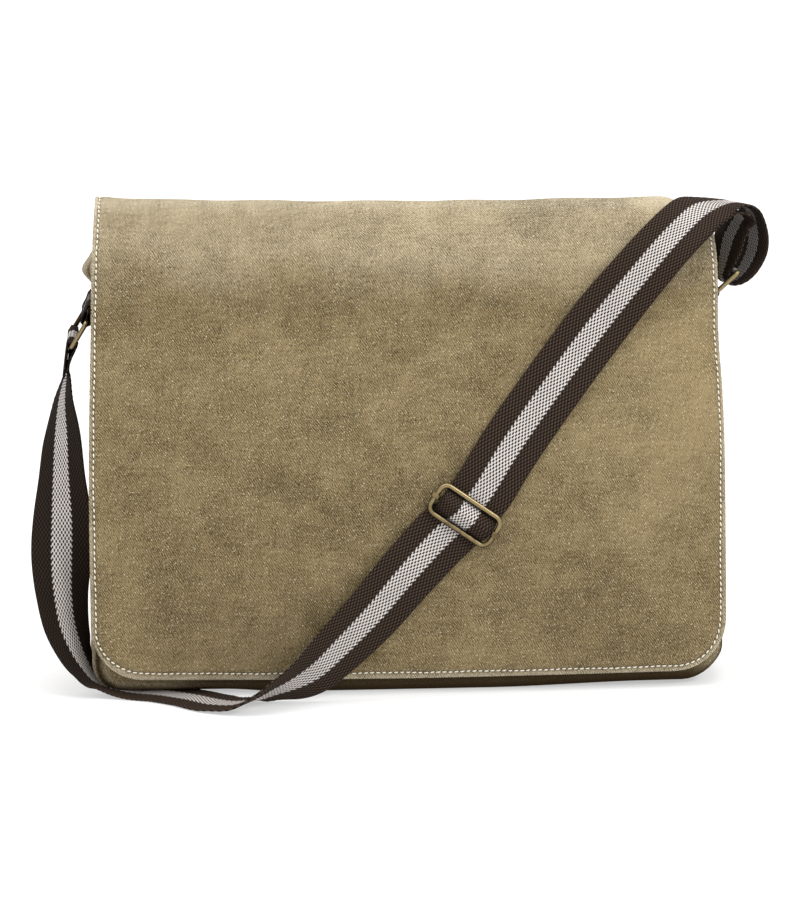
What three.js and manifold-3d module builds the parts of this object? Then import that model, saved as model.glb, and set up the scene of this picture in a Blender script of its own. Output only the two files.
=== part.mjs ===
// A canvas dispatch bag standing on its base, in millimetres: +X right, +Y back, +Z up.
// The origin is the middle of the flat underside. A full flap hangs down the front, and the
// shoulder strap runs from the left ring over the floor and up across the flap to the right ring.
import * as THREE from 'three';
import { mergeVertices } from 'three/addons/utils/BufferGeometryUtils.js';
import Module from 'manifold-3d';

// Driving dimensions
const canvasThick = 2.0;
const flapThick = 2.4;
const seamGap = 0.3;
const panelHalfWidth = 197;
const panelTopHalfWidth = 192.5;
const panelBottom = 4;
const panelTop = 267;
const panelCorner = 16;
const gussetTop = 274;
const flatShare = 0.4;
const basePower = 1.4;
const bellyPower = 2.5;
const backBellyShare = 0.5;

const flapBottom = 9.5;
const flapSlant = 2;
const flapBackHem = 240;
const flapCorner = 28;
const flapEase = 0.8;
const flapFlare = 2;
const flapFlareTop = 60;
const flapBackGap = 0.5;
const archFoot = 264;
const archTop = 305.5;
const archEndRise = 3.2;
const archPower = 1.55;
const strapDip = { depth: 9, x: 197, reach: 23, power: 4 };
const strapHollow = { depth: 3, x: -180, y: -30, reachX: 34, reachY: 12 };
const rightBulge = { share: 0.4, from: 180, to: 224 };

const strapWidth = 38;
const strapThick = 1.5;
const strapLayer = 1.95;
const strapStep = 5;
const tabWidth = 34;
const tabLow = 224;
const tailJoin = 207;
const leftFoldLevel = 243;
const rightJoinLevel = 239;

const ringWire = 1.5;
const ringInner = 39;
const ringDrop = 18.8;
const ringCorner = 2.5;
const sliderWire = 1.35;
const sliderLong = 44;
const sliderShort = 22.6;
const sliderCorner = 5;
const sliderBarRadius = 1.1;
const sliderSqueeze = 0.955;
const collarRadius = 2.1;
const collarLength = 3.4;
const slideGap = 0.25;
const wireSides = 10;

// Body sections: height, half depth at the seam, forward belly, outward bulge of the side
const bodySections = [
  { z: 4, seam: 52, belly: 3, bulge: 4 },
  { z: 20, seam: 53, belly: 8, bulge: 6.5 },
  { z: 60, seam: 52, belly: 13, bulge: 6 },
  { z: 110, seam: 48, belly: 15, bulge: 5 },
  { z: 160, seam: 43, belly: 13, bulge: 4 },
  { z: 210, seam: 37, belly: 9, bulge: 2 },
  { z: 224, seam: 35.5, belly: 7.5, bulge: 1 },
  { z: 238, seam: 34.2, belly: 6.2, bulge: 1 },
  { z: 250, seam: 33, belly: 5.2, bulge: 3 },
  { z: 263, seam: 31.8, belly: 4.4, bulge: 11 },
  { z: 276, seam: 30, belly: 4, bulge: 5 },
];

// Heights of the gusset's rows down each side, close together round the folded top
const sideHeights = [gussetTop, 269, 263, 257, 251, 245, 225, 195, 160, 120, 80, 50];

// Flap edges: distance of each side from the middle at heights of the hanging front
const flapSections = [
  { z: 9, left: 200.3, right: 201 },
  { z: 50, left: 200.3, right: 201.4 },
  { z: 130, left: 200.2, right: 200 },
  { z: 165, left: 199.5, right: 199 },
  { z: 194, left: 198.7, right: 197.2 },
  { z: 213, left: 198.1, right: 195.9 },
  { z: 250, left: 197, right: 194.7 },
  { z: 281, left: 195.7, right: 192.2 },
  { z: 308, left: 194.5, right: 191 },
];

// Strap from the left ring down to the floor and up to the flap: middle and direction to one edge
const hangingRows = [
  { x: -214.6, y: 3, z: 199.5, wx: -0.04, wy: 0.99, wz: 0.14 },
  { x: -218, y: -1, z: 180.5, wx: -0.32, wy: 0.94, wz: 0.06 },
  { x: -218.8, y: -9, z: 155.6, wx: -0.64, wy: 0.77, wz: 0 },
  { x: -219, y: -17, z: 131, wx: -0.8, wy: 0.6, wz: 0 },
  { x: -218.8, y: -25, z: 106, wx: -0.95, wy: 0.2, wz: 0 },
  { x: -218.6, y: -32, z: 81, wx: -0.93, wy: -0.3, wz: -0.05 },
  { x: -217.9, y: -37, z: 63.5, wx: -0.8, wy: -0.58, wz: -0.08 },
  { x: -215.9, y: -41, z: 44, wx: -0.62, wy: -0.74, wz: -0.2 },
  { x: -212.8, y: -43, z: 29.5, wx: -0.48, wy: -0.85, wz: -0.12 },
  { x: -209.4, y: -42.5, z: 18.9, wx: -0.31, wy: -0.95, wz: -0.07 },
  { x: -199, y: -42.5, z: 6.9, wx: -0.15, wy: -0.97, wz: 0.11 },
  { x: -180, y: -46.5, z: 1.6, wx: -0.1, wy: -0.99, wz: 0.01 },
  { x: -157, y: -56, z: 1.5, wx: -0.02, wy: -1, wz: 0 },
  { x: -139, y: -67, z: 2.2, wx: 0.1, wy: -1, wz: 0 },
  { x: -123, y: -79.5, z: 3, wx: 0.1, wy: -1, wz: 0 },
  { x: -110, y: -88, z: 3.8, wx: 0, wy: -0.98, wz: 0.13 },
  { x: -98, y: -92, z: 7.4, wx: -0.12, wy: -0.93, wz: 0.31 },
  { x: -88, y: -92.5, z: 10.8, wx: -0.2, wy: -0.85, wz: 0.46 },
  { x: -78.5, y: -91, z: 14.8, wx: -0.3, wy: -0.73, wz: 0.6 },
  { x: -64, y: -86.5, z: 22, wx: -0.42, wy: -0.5, wz: 0.76 },
  { x: -47, y: -81.5, z: 35, wx: -0.5, wy: -0.34, wz: 0.8 },
  { x: -23.6, y: -77, z: 55.5, wx: -0.58, wy: -0.2, wz: 0.79 },
  { x: -6, y: -74.6, z: 76, wx: -0.68, wy: -0.1, wz: 0.73 },
];

// Strap across the flap above the slider: place on the flap and clearance of the strap's middle
const crossingRows = [
  { x: 61.5, z: 154.5, clear: 3.3 },
  { x: 89, z: 194.3, clear: 3.3 },
  { x: 120.6, z: 234.8, clear: 3.3 },
];

// Strap over the top corner of the flap, outer layer
const cornerRows = [
  { x: 141.6, y: -42.2, z: 257.9, wx: -0.78, wy: 0.12, wz: 0.6 },
  { x: 161.6, y: -36.6, z: 279.8, wx: -0.72, wy: 0.37, wz: 0.56 },
  { x: 174, y: -30, z: 291.2, wx: -0.66, wy: 0.5, wz: 0.54 },
  { x: 185.4, y: -20.8, z: 299.2, wx: -0.5, wy: 0.72, wz: 0.46 },
  { x: 198.4, y: -11, z: 303, wx: -0.22, wy: 0.95, wz: 0.2 },
];

// Strap loop outside the right edge, through the right ring and back over the corner
const loopRows = [
  { x: 212, y: -6, z: 302, yaw: 3 },
  { x: 222.5, y: -3, z: 297.2, yaw: 0 },
  { x: 228.6, y: -1, z: 286.5, yaw: 0 },
  { x: 228.6, y: 0, z: 273, yaw: 0 },
  { x: 223, y: 0, z: 261, yaw: 0 },
  { x: 215, y: 0, z: 253.6, yaw: 0 },
  { x: 207.6, y: 0, z: 252, yaw: 0 },
  { x: 204.6, y: 0, z: 256.5, yaw: 0 },
  { x: 206.4, y: 0, z: 263.5, yaw: 4 },
  { x: 210, y: 0, z: 272, yaw: 10 },
  { x: 214.5, y: -1, z: 281, yaw: 16 },
  { x: 218.5, y: -2, z: 288.5, yaw: 14 },
  { x: 217.6, y: -3, z: 294.2, yaw: 8 },
  { x: 211, y: -6, z: 297.2, yaw: 6 },
];

// Strap weave through the slider: distance along the strap and height over the slider's plane
const weaveRows = [
  { along: -20, rise: -3.7 },
  { along: -9.95, rise: -3.1 },
  { along: -8.6, rise: -2.7 },
  { along: -4.5, rise: 1 },
  { along: 0, rise: 3.95 },
  { along: 4.5, rise: 1 },
  { along: 8.6, rise: -2.7 },
  { along: 9.95, rise: -3.1 },
  { along: 20, rise: -2.8 },
];
// Strap's lower layer coming back to the slider, and the angles of its turn round the slider's bar
const returnRows = [
  { along: 9.95, rise: -5.05 },
  { along: 4, rise: -3 },
];
const barTurn = { from: 270, to: 40 };
const sliderPlace = { x: 32.1, z: 114, clear: 6.2 };
const strapLean = 53;

const leftRing = { x: -201.65, z: 235, tilt: 31, roll: 12 };
const rightRing = { x: 197.5, z: 248, tilt: 228, roll: 0 };

const { degToRad: radians, clamp, lerp, smoothstep } = THREE.MathUtils;
const point = (x, y, z) => new THREE.Vector3(x, y, z);

// Value of one column of a table at a height, by a smooth curve through the rows
function column(table, name, z) {
  const last = table.length - 1;
  const height = clamp(z, table[0].z, table[last].z);
  let row = 0;
  while (row < last - 1 && table[row + 1].z < height) row += 1;
  const slope = (i) => {
    const low = Math.max(i - 1, 0);
    const high = Math.min(i + 1, last);
    return (table[high][name] - table[low][name]) / (table[high].z - table[low].z);
  };
  const span = table[row + 1].z - table[row].z;
  const t = (height - table[row].z) / span;
  const rise = table[row + 1][name] - table[row][name];
  const start = slope(row) * span;
  const end = slope(row + 1) * span;
  const curve = t ** 2 * (3 * rise - 2 * start - end) + t ** 3 * (start + end - 2 * rise);
  return table[row][name] + t * start + curve;
}

// Closed solid from points and triangles, turned so that its faces point out
function solid(points, faces) {
  let volume = 0;
  for (const [a, b, c] of faces) {
    volume += points[a].dot(points[b].clone().cross(points[c]));
  }
  const order = volume > 0 ? faces : faces.map(([a, b, c]) => [a, c, b]);
  const geometry = new THREE.BufferGeometry().setFromPoints(points);
  geometry.setIndex(order.flat());
  geometry.computeVertexNormals();
  return geometry;
}

// Wall between an outer and an inner grid of points, closed round its rim
function wall(outer, inner) {
  const rows = outer.length;
  const columns = outer[0].length;
  const back = rows * columns;
  const at = (i, j) => i * columns + j;
  const faces = [];
  const quad = (a, b, c, d) => faces.push([a, b, c], [a, c, d]);
  for (let i = 0; i < rows - 1; i += 1) {
    for (let j = 0; j < columns - 1; j += 1) {
      quad(at(i, j), at(i, j + 1), at(i + 1, j + 1), at(i + 1, j));
      quad(back + at(i, j), back + at(i + 1, j), back + at(i + 1, j + 1), back + at(i, j + 1));
    }
    const end = columns - 1;
    quad(at(i, 0), at(i + 1, 0), back + at(i + 1, 0), back + at(i, 0));
    quad(at(i + 1, end), at(i, end), back + at(i, end), back + at(i + 1, end));
  }
  for (let j = 0; j < columns - 1; j += 1) {
    const end = rows - 1;
    quad(at(0, j + 1), at(0, j), back + at(0, j), back + at(0, j + 1));
    quad(at(end, j), at(end, j + 1), back + at(end, j + 1), back + at(end, j));
  }
  return solid([...outer.flat(), ...inner.flat()], faces);
}

// Solid through a run of sections of equal corner count, either capped or closed into a ring
function sweep(sections, ring) {
  const sides = sections[0].length;
  const count = sections.length;
  const faces = [];
  for (let i = 0; i < (ring ? count : count - 1); i += 1) {
    for (let j = 0; j < sides; j += 1) {
      const a = i * sides + j;
      const b = i * sides + ((j + 1) % sides);
      const c = ((i + 1) % count) * sides + ((j + 1) % sides);
      const d = ((i + 1) % count) * sides + j;
      faces.push([a, b, c], [a, c, d]);
    }
  }
  if (!ring) {
    const end = (count - 1) * sides;
    for (let j = 1; j < sides - 1; j += 1) {
      faces.push([0, j + 1, j], [end, end + j, end + j + 1]);
    }
  }
  return solid(sections.flat(), faces);
}

// Round wire bent into a rectangle with round corners, long side along Y, short side down from Z 0
function wireRectangle(long, short, corner, radius) {
  const cornerSteps = 4;
  const sections = [];
  const corners = [
    { y: long / 2 - corner, z: -corner, from: 0 },
    { y: corner - long / 2, z: -corner, from: 90 },
    { y: corner - long / 2, z: corner - short, from: 180 },
    { y: long / 2 - corner, z: corner - short, from: 270 },
  ];
  for (const bend of corners) {
    for (let step = 0; step <= cornerSteps; step += 1) {
      const turn = radians(bend.from + (90 * step) / cornerSteps);
      const outward = point(0, Math.cos(turn), Math.sin(turn));
      const middle = point(0, bend.y, bend.z).addScaledVector(outward, corner);
      const section = [];
      for (let side = 0; side < wireSides; side += 1) {
        const angle = (2 * Math.PI * side) / wireSides;
        const spot = middle.clone().addScaledVector(outward, radius * Math.cos(angle));
        section.push(spot.add(point(radius * Math.sin(angle), 0, 0)));
      }
      sections.push(section);
    }
  }
  return sweep(sections, true);
}

// Flat webbing along rows of a middle point and a direction across, each row with a width share
function webbing(rows, width, thick, step) {
  const path = new THREE.CatmullRomCurve3(rows.map((row) => row.middle), false, 'centripetal');
  const across = new THREE.CatmullRomCurve3(rows.map((row) => row.across), false, 'catmullrom');
  const stations = [];
  for (let i = 0; i < rows.length - 1; i += 1) {
    const length = rows[i].middle.distanceTo(rows[i + 1].middle);
    const parts = Math.max(1, Math.round(length / step));
    for (let part = 0; part < parts; part += 1) stations.push(i + part / parts);
  }
  stations.push(rows.length - 1);
  const middles = stations.map((station) => path.getPoint(station / (rows.length - 1)));
  const sections = stations.map((station, i) => {
    const next = middles[Math.min(i + 1, middles.length - 1)];
    const ahead = next.clone().sub(middles[Math.max(i - 1, 0)]).normalize();
    const edge = across.getPoint(station / (rows.length - 1));
    edge.addScaledVector(ahead, -edge.dot(ahead)).normalize();
    const low = rows[Math.floor(station)];
    const high = rows[Math.ceil(station)];
    const share = lerp(low.share ?? 1, high.share ?? 1, station % 1);
    const face = edge.clone().cross(ahead).multiplyScalar(thick / 2);
    const half = edge.multiplyScalar((width * share) / 2);
    const middle = middles[i];
    return [
      middle.clone().add(half).add(face),
      middle.clone().sub(half).add(face),
      middle.clone().sub(half).sub(face),
      middle.clone().add(half).sub(face),
    ];
  });
  return sweep(sections, false);
}

// Rows of webbing bent round a bar, from one angle to another in the plane across the bar
function bendRows(bar, side, up, axis, radius, from, to, share) {
  const bendStep = 30;
  const steps = Math.ceil(Math.abs(to - from) / bendStep);
  const rows = [];
  for (let step = 0; step <= steps; step += 1) {
    const angle = radians(from + ((to - from) * step) / steps);
    const middle = bar.clone().addScaledVector(side, radius * Math.cos(angle));
    middle.addScaledVector(up, radius * Math.sin(angle));
    rows.push({ middle, across: axis.clone(), share });
  }
  return rows;
}

const tableRow = (row) => ({ middle: point(row.x, row.y, row.z), across: point(row.wx, row.wy, row.wz) });

// Half width of the body at a height, with its round bottom corners
function bodyHalf(z) {
  const taper = clamp((z - panelBottom) / (panelTop - panelBottom), 0, 1);
  const straight = lerp(panelHalfWidth, panelTopHalfWidth, taper);
  const below = Math.max(0, panelBottom + panelCorner - z);
  return straight - panelCorner + Math.sqrt(Math.max(0, panelCorner ** 2 - below ** 2));
}

// Depth of the body's face in front of or behind its middle, with a share of the belly
function faceDepth(x, z, half, bellyShare) {
  const inward = Math.min(1, Math.abs(x) / half) ** bellyPower;
  return column(bodySections, 'seam', z) + bellyShare * column(bodySections, 'belly', z) * (1 - inward);
}

// Heights of the rows of a panel, close together round its bottom corners
function panelHeights() {
  const cornerSteps = 5;
  const sideSteps = 10;
  const heights = [];
  for (let step = 0; step < cornerSteps; step += 1) {
    heights.push(panelBottom + panelCorner * (1 - Math.cos((step / cornerSteps) * (Math.PI / 2))));
  }
  const cornerTop = panelBottom + panelCorner;
  for (let step = 0; step <= sideSteps; step += 1) {
    heights.push(cornerTop + ((panelTop - cornerTop) * step) / sideSteps);
  }
  return heights;
}

// Front or back panel of the body, a bellied canvas wall
function panel(direction, bellyShare) {
  const columns = 16;
  const outer = [];
  const inner = [];
  for (const z of panelHeights()) {
    const half = bodyHalf(z);
    const outerRow = [];
    const innerRow = [];
    for (let j = 0; j <= columns; j += 1) {
      const x = half * ((2 * j) / columns - 1);
      const depth = faceDepth(x, z, half, bellyShare);
      outerRow.push(point(x, direction * depth, z));
      innerRow.push(point(x, direction * (depth - canvasThick), z));
    }
    outer.push(outerRow);
    inner.push(innerRow);
  }
  return wall(outer, inner);
}

// Outline of the gusset seen from the front, down the left side, along the base and up the right
function gussetOutline() {
  const cornerSteps = 6;
  const baseSteps = 12;
  const cornerTop = panelBottom + panelCorner;
  const leftSide = sideHeights.map((z) => ({ x: -bodyHalf(z), z, nx: -1, nz: 0 }));
  const leftCorner = [];
  for (let step = 0; step <= cornerSteps; step += 1) {
    const turn = radians(180 + (90 * step) / cornerSteps);
    const nx = Math.cos(turn);
    const nz = Math.sin(turn);
    const z = cornerTop + panelCorner * nz;
    leftCorner.push({ x: -bodyHalf(cornerTop) + panelCorner + panelCorner * nx, z, nx, nz });
  }
  const left = [...leftSide, ...leftCorner];
  const edge = left[left.length - 1].x;
  const base = [];
  for (let step = 1; step < baseSteps; step += 1) {
    base.push({ x: edge * Math.cos((Math.PI * step) / baseSteps), z: panelBottom, nx: 0, nz: -1 });
  }
  const right = left.map((spot) => ({ ...spot, x: -spot.x, nx: -spot.nx })).reverse();
  return [...left, ...base, ...right];
}

// Share of the side's bulge left on the right, where the strap pulls the top flat
const rightShare = (z) => lerp(1, rightBulge.share, smoothstep(z, rightBulge.from, rightBulge.to));

// Gusset strip: flat in the middle of the base, bulging at the sides, folded out near the top
function gusset() {
  const columns = 10;
  const sidePower = 2.2;
  const earPower = 1.2;
  const earLow = 246;
  const earHigh = 262;
  const flatNormal = -0.99;
  const flatScale = 1 - flatShare ** basePower;
  const outer = [];
  const inner = [];
  for (const spot of gussetOutline()) {
    const reach = column(bodySections, 'seam', spot.z) - canvasThick - seamGap;
    const sideBulge = column(bodySections, 'bulge', spot.z) * (spot.x > 0 ? rightShare(spot.z) : 1);
    const bulge = spot.nz < flatNormal ? panelBottom : sideBulge;
    const power = lerp(sidePower, earPower, smoothstep(spot.z, earLow, earHigh));
    const outerRow = [];
    const innerRow = [];
    for (let j = 0; j <= columns; j += 1) {
      const t = Math.abs((2 * j) / columns - 1);
      const flat = Math.min(1, (1 - t ** basePower) / flatScale);
      const swell = bulge * lerp(1 - t ** power, flat, spot.nz ** 2);
      const y = reach * ((2 * j) / columns - 1);
      const awayX = (spot.x - strapHollow.x) / strapHollow.reachX;
      const awayY = (y - strapHollow.y) / strapHollow.reachY;
      const lift = -spot.nz * strapHollow.depth * Math.exp(-(awayX ** 2) - awayY ** 2);
      const out = swell - lift;
      outerRow.push(point(spot.x + spot.nx * out, y, spot.z + spot.nz * out));
      const inset = out - canvasThick;
      innerRow.push(point(spot.x + spot.nx * inset, y, spot.z + spot.nz * inset));
    }
    outer.push(outerRow);
    inner.push(innerRow);
  }
  return wall(outer, inner);
}

// Half width of the flap on one side at a height
const flapHalf = (z, side) => column(flapSections, side < 0 ? 'left' : 'right', z);

// Depth of the flap's outer face in front of the middle of the bag
function flapDepth(x, z) {
  const half = flapHalf(z, x);
  const flare = flapFlare * (1 - smoothstep(z, flapBottom, flapFlareTop));
  return faceDepth(x, z, half, 1) + flapEase + flapThick + flare;
}

// Top of the flap's arch across its width, dipping where the strap crosses the right corner
function archHeight(x, u) {
  const away = Math.abs(x - strapDip.x) / strapDip.reach;
  const dip = strapDip.depth * Math.exp(-(away ** strapDip.power));
  return archTop + archEndRise * u * u - dip - archFoot;
}

// Flap: from its hem on the back, over the arch and down the front to its round corners
function flap() {
  const columns = 20;
  const archSteps = 14;
  const backSteps = 3;
  const frontSteps = 11;
  const cornerSteps = 5;
  const backDepth = (x, z, half) => faceDepth(x, z, half, backBellyShare) + flapBackGap + flapThick;
  const rowAt = [];
  for (let step = 0; step < backSteps; step += 1) {
    const z = flapBackHem + ((archFoot - flapBackHem) * step) / backSteps;
    rowAt.push((u) => {
      const half = flapHalf(z, u);
      return point(u * half, backDepth(u * half, z, half), z);
    });
  }
  for (let step = 0; step <= archSteps; step += 1) {
    const turn = (Math.PI * step) / archSteps;
    const level = Math.sin(turn) ** (2 / archPower);
    const reach = Math.sign(Math.cos(turn)) * Math.abs(Math.cos(turn)) ** (2 / archPower);
    rowAt.push((u) => {
      const half = flapHalf(archFoot + level * (archTop - archFoot), u);
      const x = u * half;
      const back = backDepth(x, archFoot, half);
      const front = -flapDepth(x, archFoot);
      const z = archFoot + level * archHeight(x, u);
      return point(x, (back + front) / 2 + (reach * (back - front)) / 2, z);
    });
  }
  const cornerTop = flapBottom + flapCorner;
  const heights = [];
  for (let step = 1; step <= frontSteps; step += 1) {
    heights.push(archFoot + ((cornerTop - archFoot) * step) / frontSteps);
  }
  for (let step = 1; step <= cornerSteps; step += 1) {
    heights.push(cornerTop - flapCorner * Math.sin((step / cornerSteps) * (Math.PI / 2)));
  }
  for (const z of heights) {
    const below = Math.max(0, cornerTop - z);
    const cut = flapCorner - Math.sqrt(flapCorner ** 2 - below ** 2);
    const slant = 1 - smoothstep(z, flapBottom, archFoot);
    rowAt.push((u) => {
      const x = u * (flapHalf(z, u) - cut);
      return point(x, -flapDepth(x, z), z - flapSlant * slant * u);
    });
  }
  const outer = rowAt.map((place) => {
    const row = [];
    for (let j = 0; j <= columns; j += 1) row.push(place((2 * j) / columns - 1));
    return row;
  });
  const inner = outer.map((row, i) => row.map((spot, j) => {
    const above = outer[Math.max(i - 1, 0)][j];
    const below = outer[Math.min(i + 1, outer.length - 1)][j];
    const along = below.clone().sub(above);
    const across = row[Math.min(j + 1, columns)].clone().sub(row[Math.max(j - 1, 0)]);
    return spot.clone().addScaledVector(across.cross(along).normalize(), flapThick);
  }));
  return wall(outer, inner);
}

// Turn of a ring: rolled about X, then swung about its own bar
function ringTurn(ring) {
  const roll = new THREE.Quaternion().setFromAxisAngle(point(1, 0, 0), radians(ring.roll));
  const swing = new THREE.Quaternion().setFromAxisAngle(point(0, 1, 0), radians(ring.tilt));
  return { roll, whole: roll.clone().multiply(swing) };
}

// Frame of a ring's bar: its middle, its axis and the two directions across it
function ringBar(ring, drop) {
  const { roll, whole } = ringTurn(ring);
  const middle = point(0, 0, -drop).applyQuaternion(whole).add(point(ring.x, 0, ring.z));
  return {
    middle,
    axis: point(0, 1, 0).applyQuaternion(roll),
    side: point(1, 0, 0),
    up: point(0, 0, 1).applyQuaternion(roll),
  };
}

const ringBend = ringWire + seamGap + strapThick / 2;
const sewnRow = (x, z) => ({ middle: point(x, 0, z), across: point(0, 1, 0) });

// Left tab: sewn to the gusset, folded over outward and hanging round the ring's upper bar
function leftTab() {
  const ease = 0.4;
  const bar = ringBar(leftRing, 0);
  const first = -(bodyHalf(tabLow) + column(bodySections, 'bulge', tabLow) + seamGap + strapThick / 2);
  const fold = point(first - 1.5 * strapLayer, 0, leftFoldLevel);
  const across = [bar.side, bar.up, bar.axis];
  const rows = [
    sewnRow(first, tabLow),
    sewnRow(first, (tabLow + leftFoldLevel) / 2),
    ...bendRows(fold, ...across, 1.5 * strapLayer, 0, 180),
    ...bendRows(bar.middle, ...across, ringBend + ease, 180, 360),
    ...bendRows(fold, ...across, 0.5 * strapLayer, 180, 0),
    sewnRow(first - strapLayer, (tabLow + leftFoldLevel) / 2),
    sewnRow(first - strapLayer, tabLow),
  ];
  return webbing(rows, tabWidth, strapThick, strapStep * 2);
}

// Right tab: sewn to the gusset below the ring and pulled up round the ring's inner bar
function rightTab() {
  const bar = ringBar(rightRing, 0);
  const first = rightRing.x - ringBend;
  const rows = [
    sewnRow(first, tabLow),
    sewnRow(first, rightJoinLevel),
    ...bendRows(bar.middle, bar.side, bar.up, bar.axis, ringBend, 180, 0),
    sewnRow(first + strapLayer, rightJoinLevel),
    sewnRow(first + strapLayer, tabLow),
  ];
  return webbing(rows, tabWidth, strapThick, strapStep * 2);
}

// Axes of a strap lying on the flap at one place: along it, across it and out from the flap
function flapAxes(x, z) {
  const lean = radians(strapLean);
  const onFlap = (right, up) => point(x + right, -flapDepth(x + right, z + up), z + up);
  const toward = (right, up) => onFlap(right, up).sub(onFlap(-right, -up)).normalize();
  const reach = strapWidth / 2;
  const along = toward(reach * Math.cos(lean), reach * Math.sin(lean));
  const across = toward(-reach * Math.sin(lean), reach * Math.cos(lean));
  across.addScaledVector(along, -across.dot(along)).normalize();
  return { along, across, out: along.clone().cross(across), face: onFlap(0, 0) };
}

// Axes and middle of the slider, which lies over the strap
function sliderAxes() {
  const axes = flapAxes(sliderPlace.x, sliderPlace.z);
  return { ...axes, middle: axes.face.clone().addScaledVector(axes.out, sliderPlace.clear) };
}

// Middle line of the whole strap, from its sewn end at the left ring to its end on the slider's bar
function strapRows() {
  const leftBar = ringBar(leftRing, ringDrop);
  const tailTop = hangingRows[0];
  const tail = (z, offset) => ({
    middle: point(offset, tailTop.y * ((leftBar.middle.z - z) / (leftBar.middle.z - tailTop.z)), z),
    across: leftBar.axis.clone(),
  });
  const start = [
    tail(tailTop.z, tailTop.x - strapLayer),
    tail(tailJoin, tailTop.x - 0.5 * strapLayer),
    ...bendRows(leftBar.middle, leftBar.side, leftBar.up, leftBar.axis, ringBend, 180, 0),
    tail(tailJoin, tailTop.x + 0.6 * strapLayer),
  ];
  const slider = sliderAxes();
  const sliderRow = (along, rise) => ({
    middle: slider.middle.clone().addScaledVector(slider.along, along).addScaledVector(slider.out, rise),
    across: slider.across.clone(),
    share: sliderSqueeze,
  });
  const weave = weaveRows.map((row) => sliderRow(row.along, row.rise));
  weave[0].share = 1;
  weave[weave.length - 1].share = 1;
  const crossing = crossingRows.map((row) => {
    const axes = flapAxes(row.x, row.z);
    return { middle: axes.face.clone().addScaledVector(axes.out, row.clear), across: axes.across };
  });
  const corner = cornerRows.map(tableRow);
  const loop = loopRows.map((row) => ({
    middle: point(row.x, row.y, row.z),
    across: point(-Math.sin(radians(row.yaw)), Math.cos(radians(row.yaw)), 0),
  }));
  const outward = [weave[weave.length - 1], ...crossing, ...corner];
  const under = outward.map((row, i) => {
    const next = outward[Math.min(i + 1, outward.length - 1)].middle;
    const ahead = next.clone().sub(outward[Math.max(i - 1, 0)].middle).normalize();
    const face = row.across.clone().cross(ahead).normalize();
    return { middle: row.middle.clone().addScaledVector(face, strapLayer), across: row.across.clone() };
  });
  const wrapRadius = sliderBarRadius + slideGap + strapThick / 2;
  const wrap = bendRows(
    slider.middle, slider.along, slider.out, slider.across,
    wrapRadius, barTurn.from, barTurn.to, sliderSqueeze,
  );
  const back = [...under.reverse(), ...returnRows.map((row) => sliderRow(row.along, row.rise)), ...wrap];
  return [...start, ...hangingRows.map(tableRow), ...weave, ...crossing, ...corner, ...loop, ...back];
}

// Slider's middle bar: a rod with a collar round each short side of the frame
async function sliderBar() {
  const library = await Module();
  library.setup();
  const toSolid = (geometry) => {
    geometry.deleteAttribute('normal');
    geometry.deleteAttribute('uv');
    const merged = mergeVertices(geometry);
    const vertProperties = new Float32Array(merged.attributes.position.array);
    const triVerts = new Uint32Array(merged.index.array);
    return new library.Manifold(new library.Mesh({ numProp: 3, vertProperties, triVerts }));
  };
  const reach = sliderLong / 2 - sliderWire;
  const hole = sliderWire + slideGap;
  const profile = [
    new THREE.Vector2(hole, -collarLength / 2),
    new THREE.Vector2(collarRadius, -collarLength / 2),
    new THREE.Vector2(collarRadius, collarLength / 2),
    new THREE.Vector2(hole, collarLength / 2),
    new THREE.Vector2(hole, -collarLength / 2),
  ];
  const rodLength = 2 * (reach - (hole + collarRadius) / 2);
  let bar = toSolid(new THREE.CylinderGeometry(sliderBarRadius, sliderBarRadius, rodLength, wireSides));
  for (const side of [-1, 1]) {
    const collar = new THREE.LatheGeometry(profile, wireSides * 2);
    collar.rotateX(Math.PI / 2);
    collar.translate(0, side * reach, 0);
    bar = bar.add(toSolid(collar));
  }
  const mesh = bar.getMesh();
  const geometry = new THREE.BufferGeometry();
  geometry.setAttribute('position', new THREE.BufferAttribute(mesh.vertProperties, 3));
  geometry.setIndex(new THREE.BufferAttribute(mesh.triVerts, 1));
  geometry.computeVertexNormals();
  return geometry;
}

const bag = new THREE.Group();

// Adds one named piece with its own finish
function add(name, geometry, finish) {
  const mesh = new THREE.Mesh(geometry, new THREE.MeshStandardMaterial(finish));
  mesh.name = name;
  bag.add(mesh);
  return mesh;
}

const canvas = { color: 0x96875f, roughness: 0.95, metalness: 0 };
const darkWebbing = { color: 0x372c27, roughness: 0.85, metalness: 0 };
const brass = { color: 0xa98a4e, roughness: 0.35, metalness: 1 };

add('front_panel', panel(-1, 1), canvas);
add('back_panel', panel(1, backBellyShare), canvas);
add('gusset', gusset(), canvas);
add('flap', flap(), canvas);
add('ring_tab_left', leftTab(), darkWebbing);
add('ring_tab_right', rightTab(), darkWebbing);
add('strap', webbing(strapRows(), strapWidth, strapThick, strapStep), darkWebbing);

for (const [name, ring] of [['ring_left', leftRing], ['ring_right', rightRing]]) {
  const mesh = add(name, wireRectangle(ringInner + 2 * ringWire, ringDrop, ringCorner, ringWire), brass);
  mesh.position.set(ring.x, 0, ring.z);
  mesh.quaternion.copy(ringTurn(ring).whole);
}

const sliderGroup = new THREE.Group();
const slider = sliderAxes();
sliderGroup.position.copy(slider.middle);
const sliderBasis = new THREE.Matrix4();
sliderBasis.makeBasis(slider.out, slider.across, slider.along.clone().negate());
sliderGroup.quaternion.setFromRotationMatrix(sliderBasis);
const frame = add(
  'slider_frame',
  wireRectangle(sliderLong - 2 * sliderWire, sliderShort - 2 * sliderWire, sliderCorner, sliderWire),
  brass,
);
frame.position.z = sliderShort / 2 - sliderWire;
sliderGroup.add(frame, add('slider_bar', await sliderBar(), brass));
bag.add(sliderGroup);

export default bag;
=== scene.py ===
import math

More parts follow.
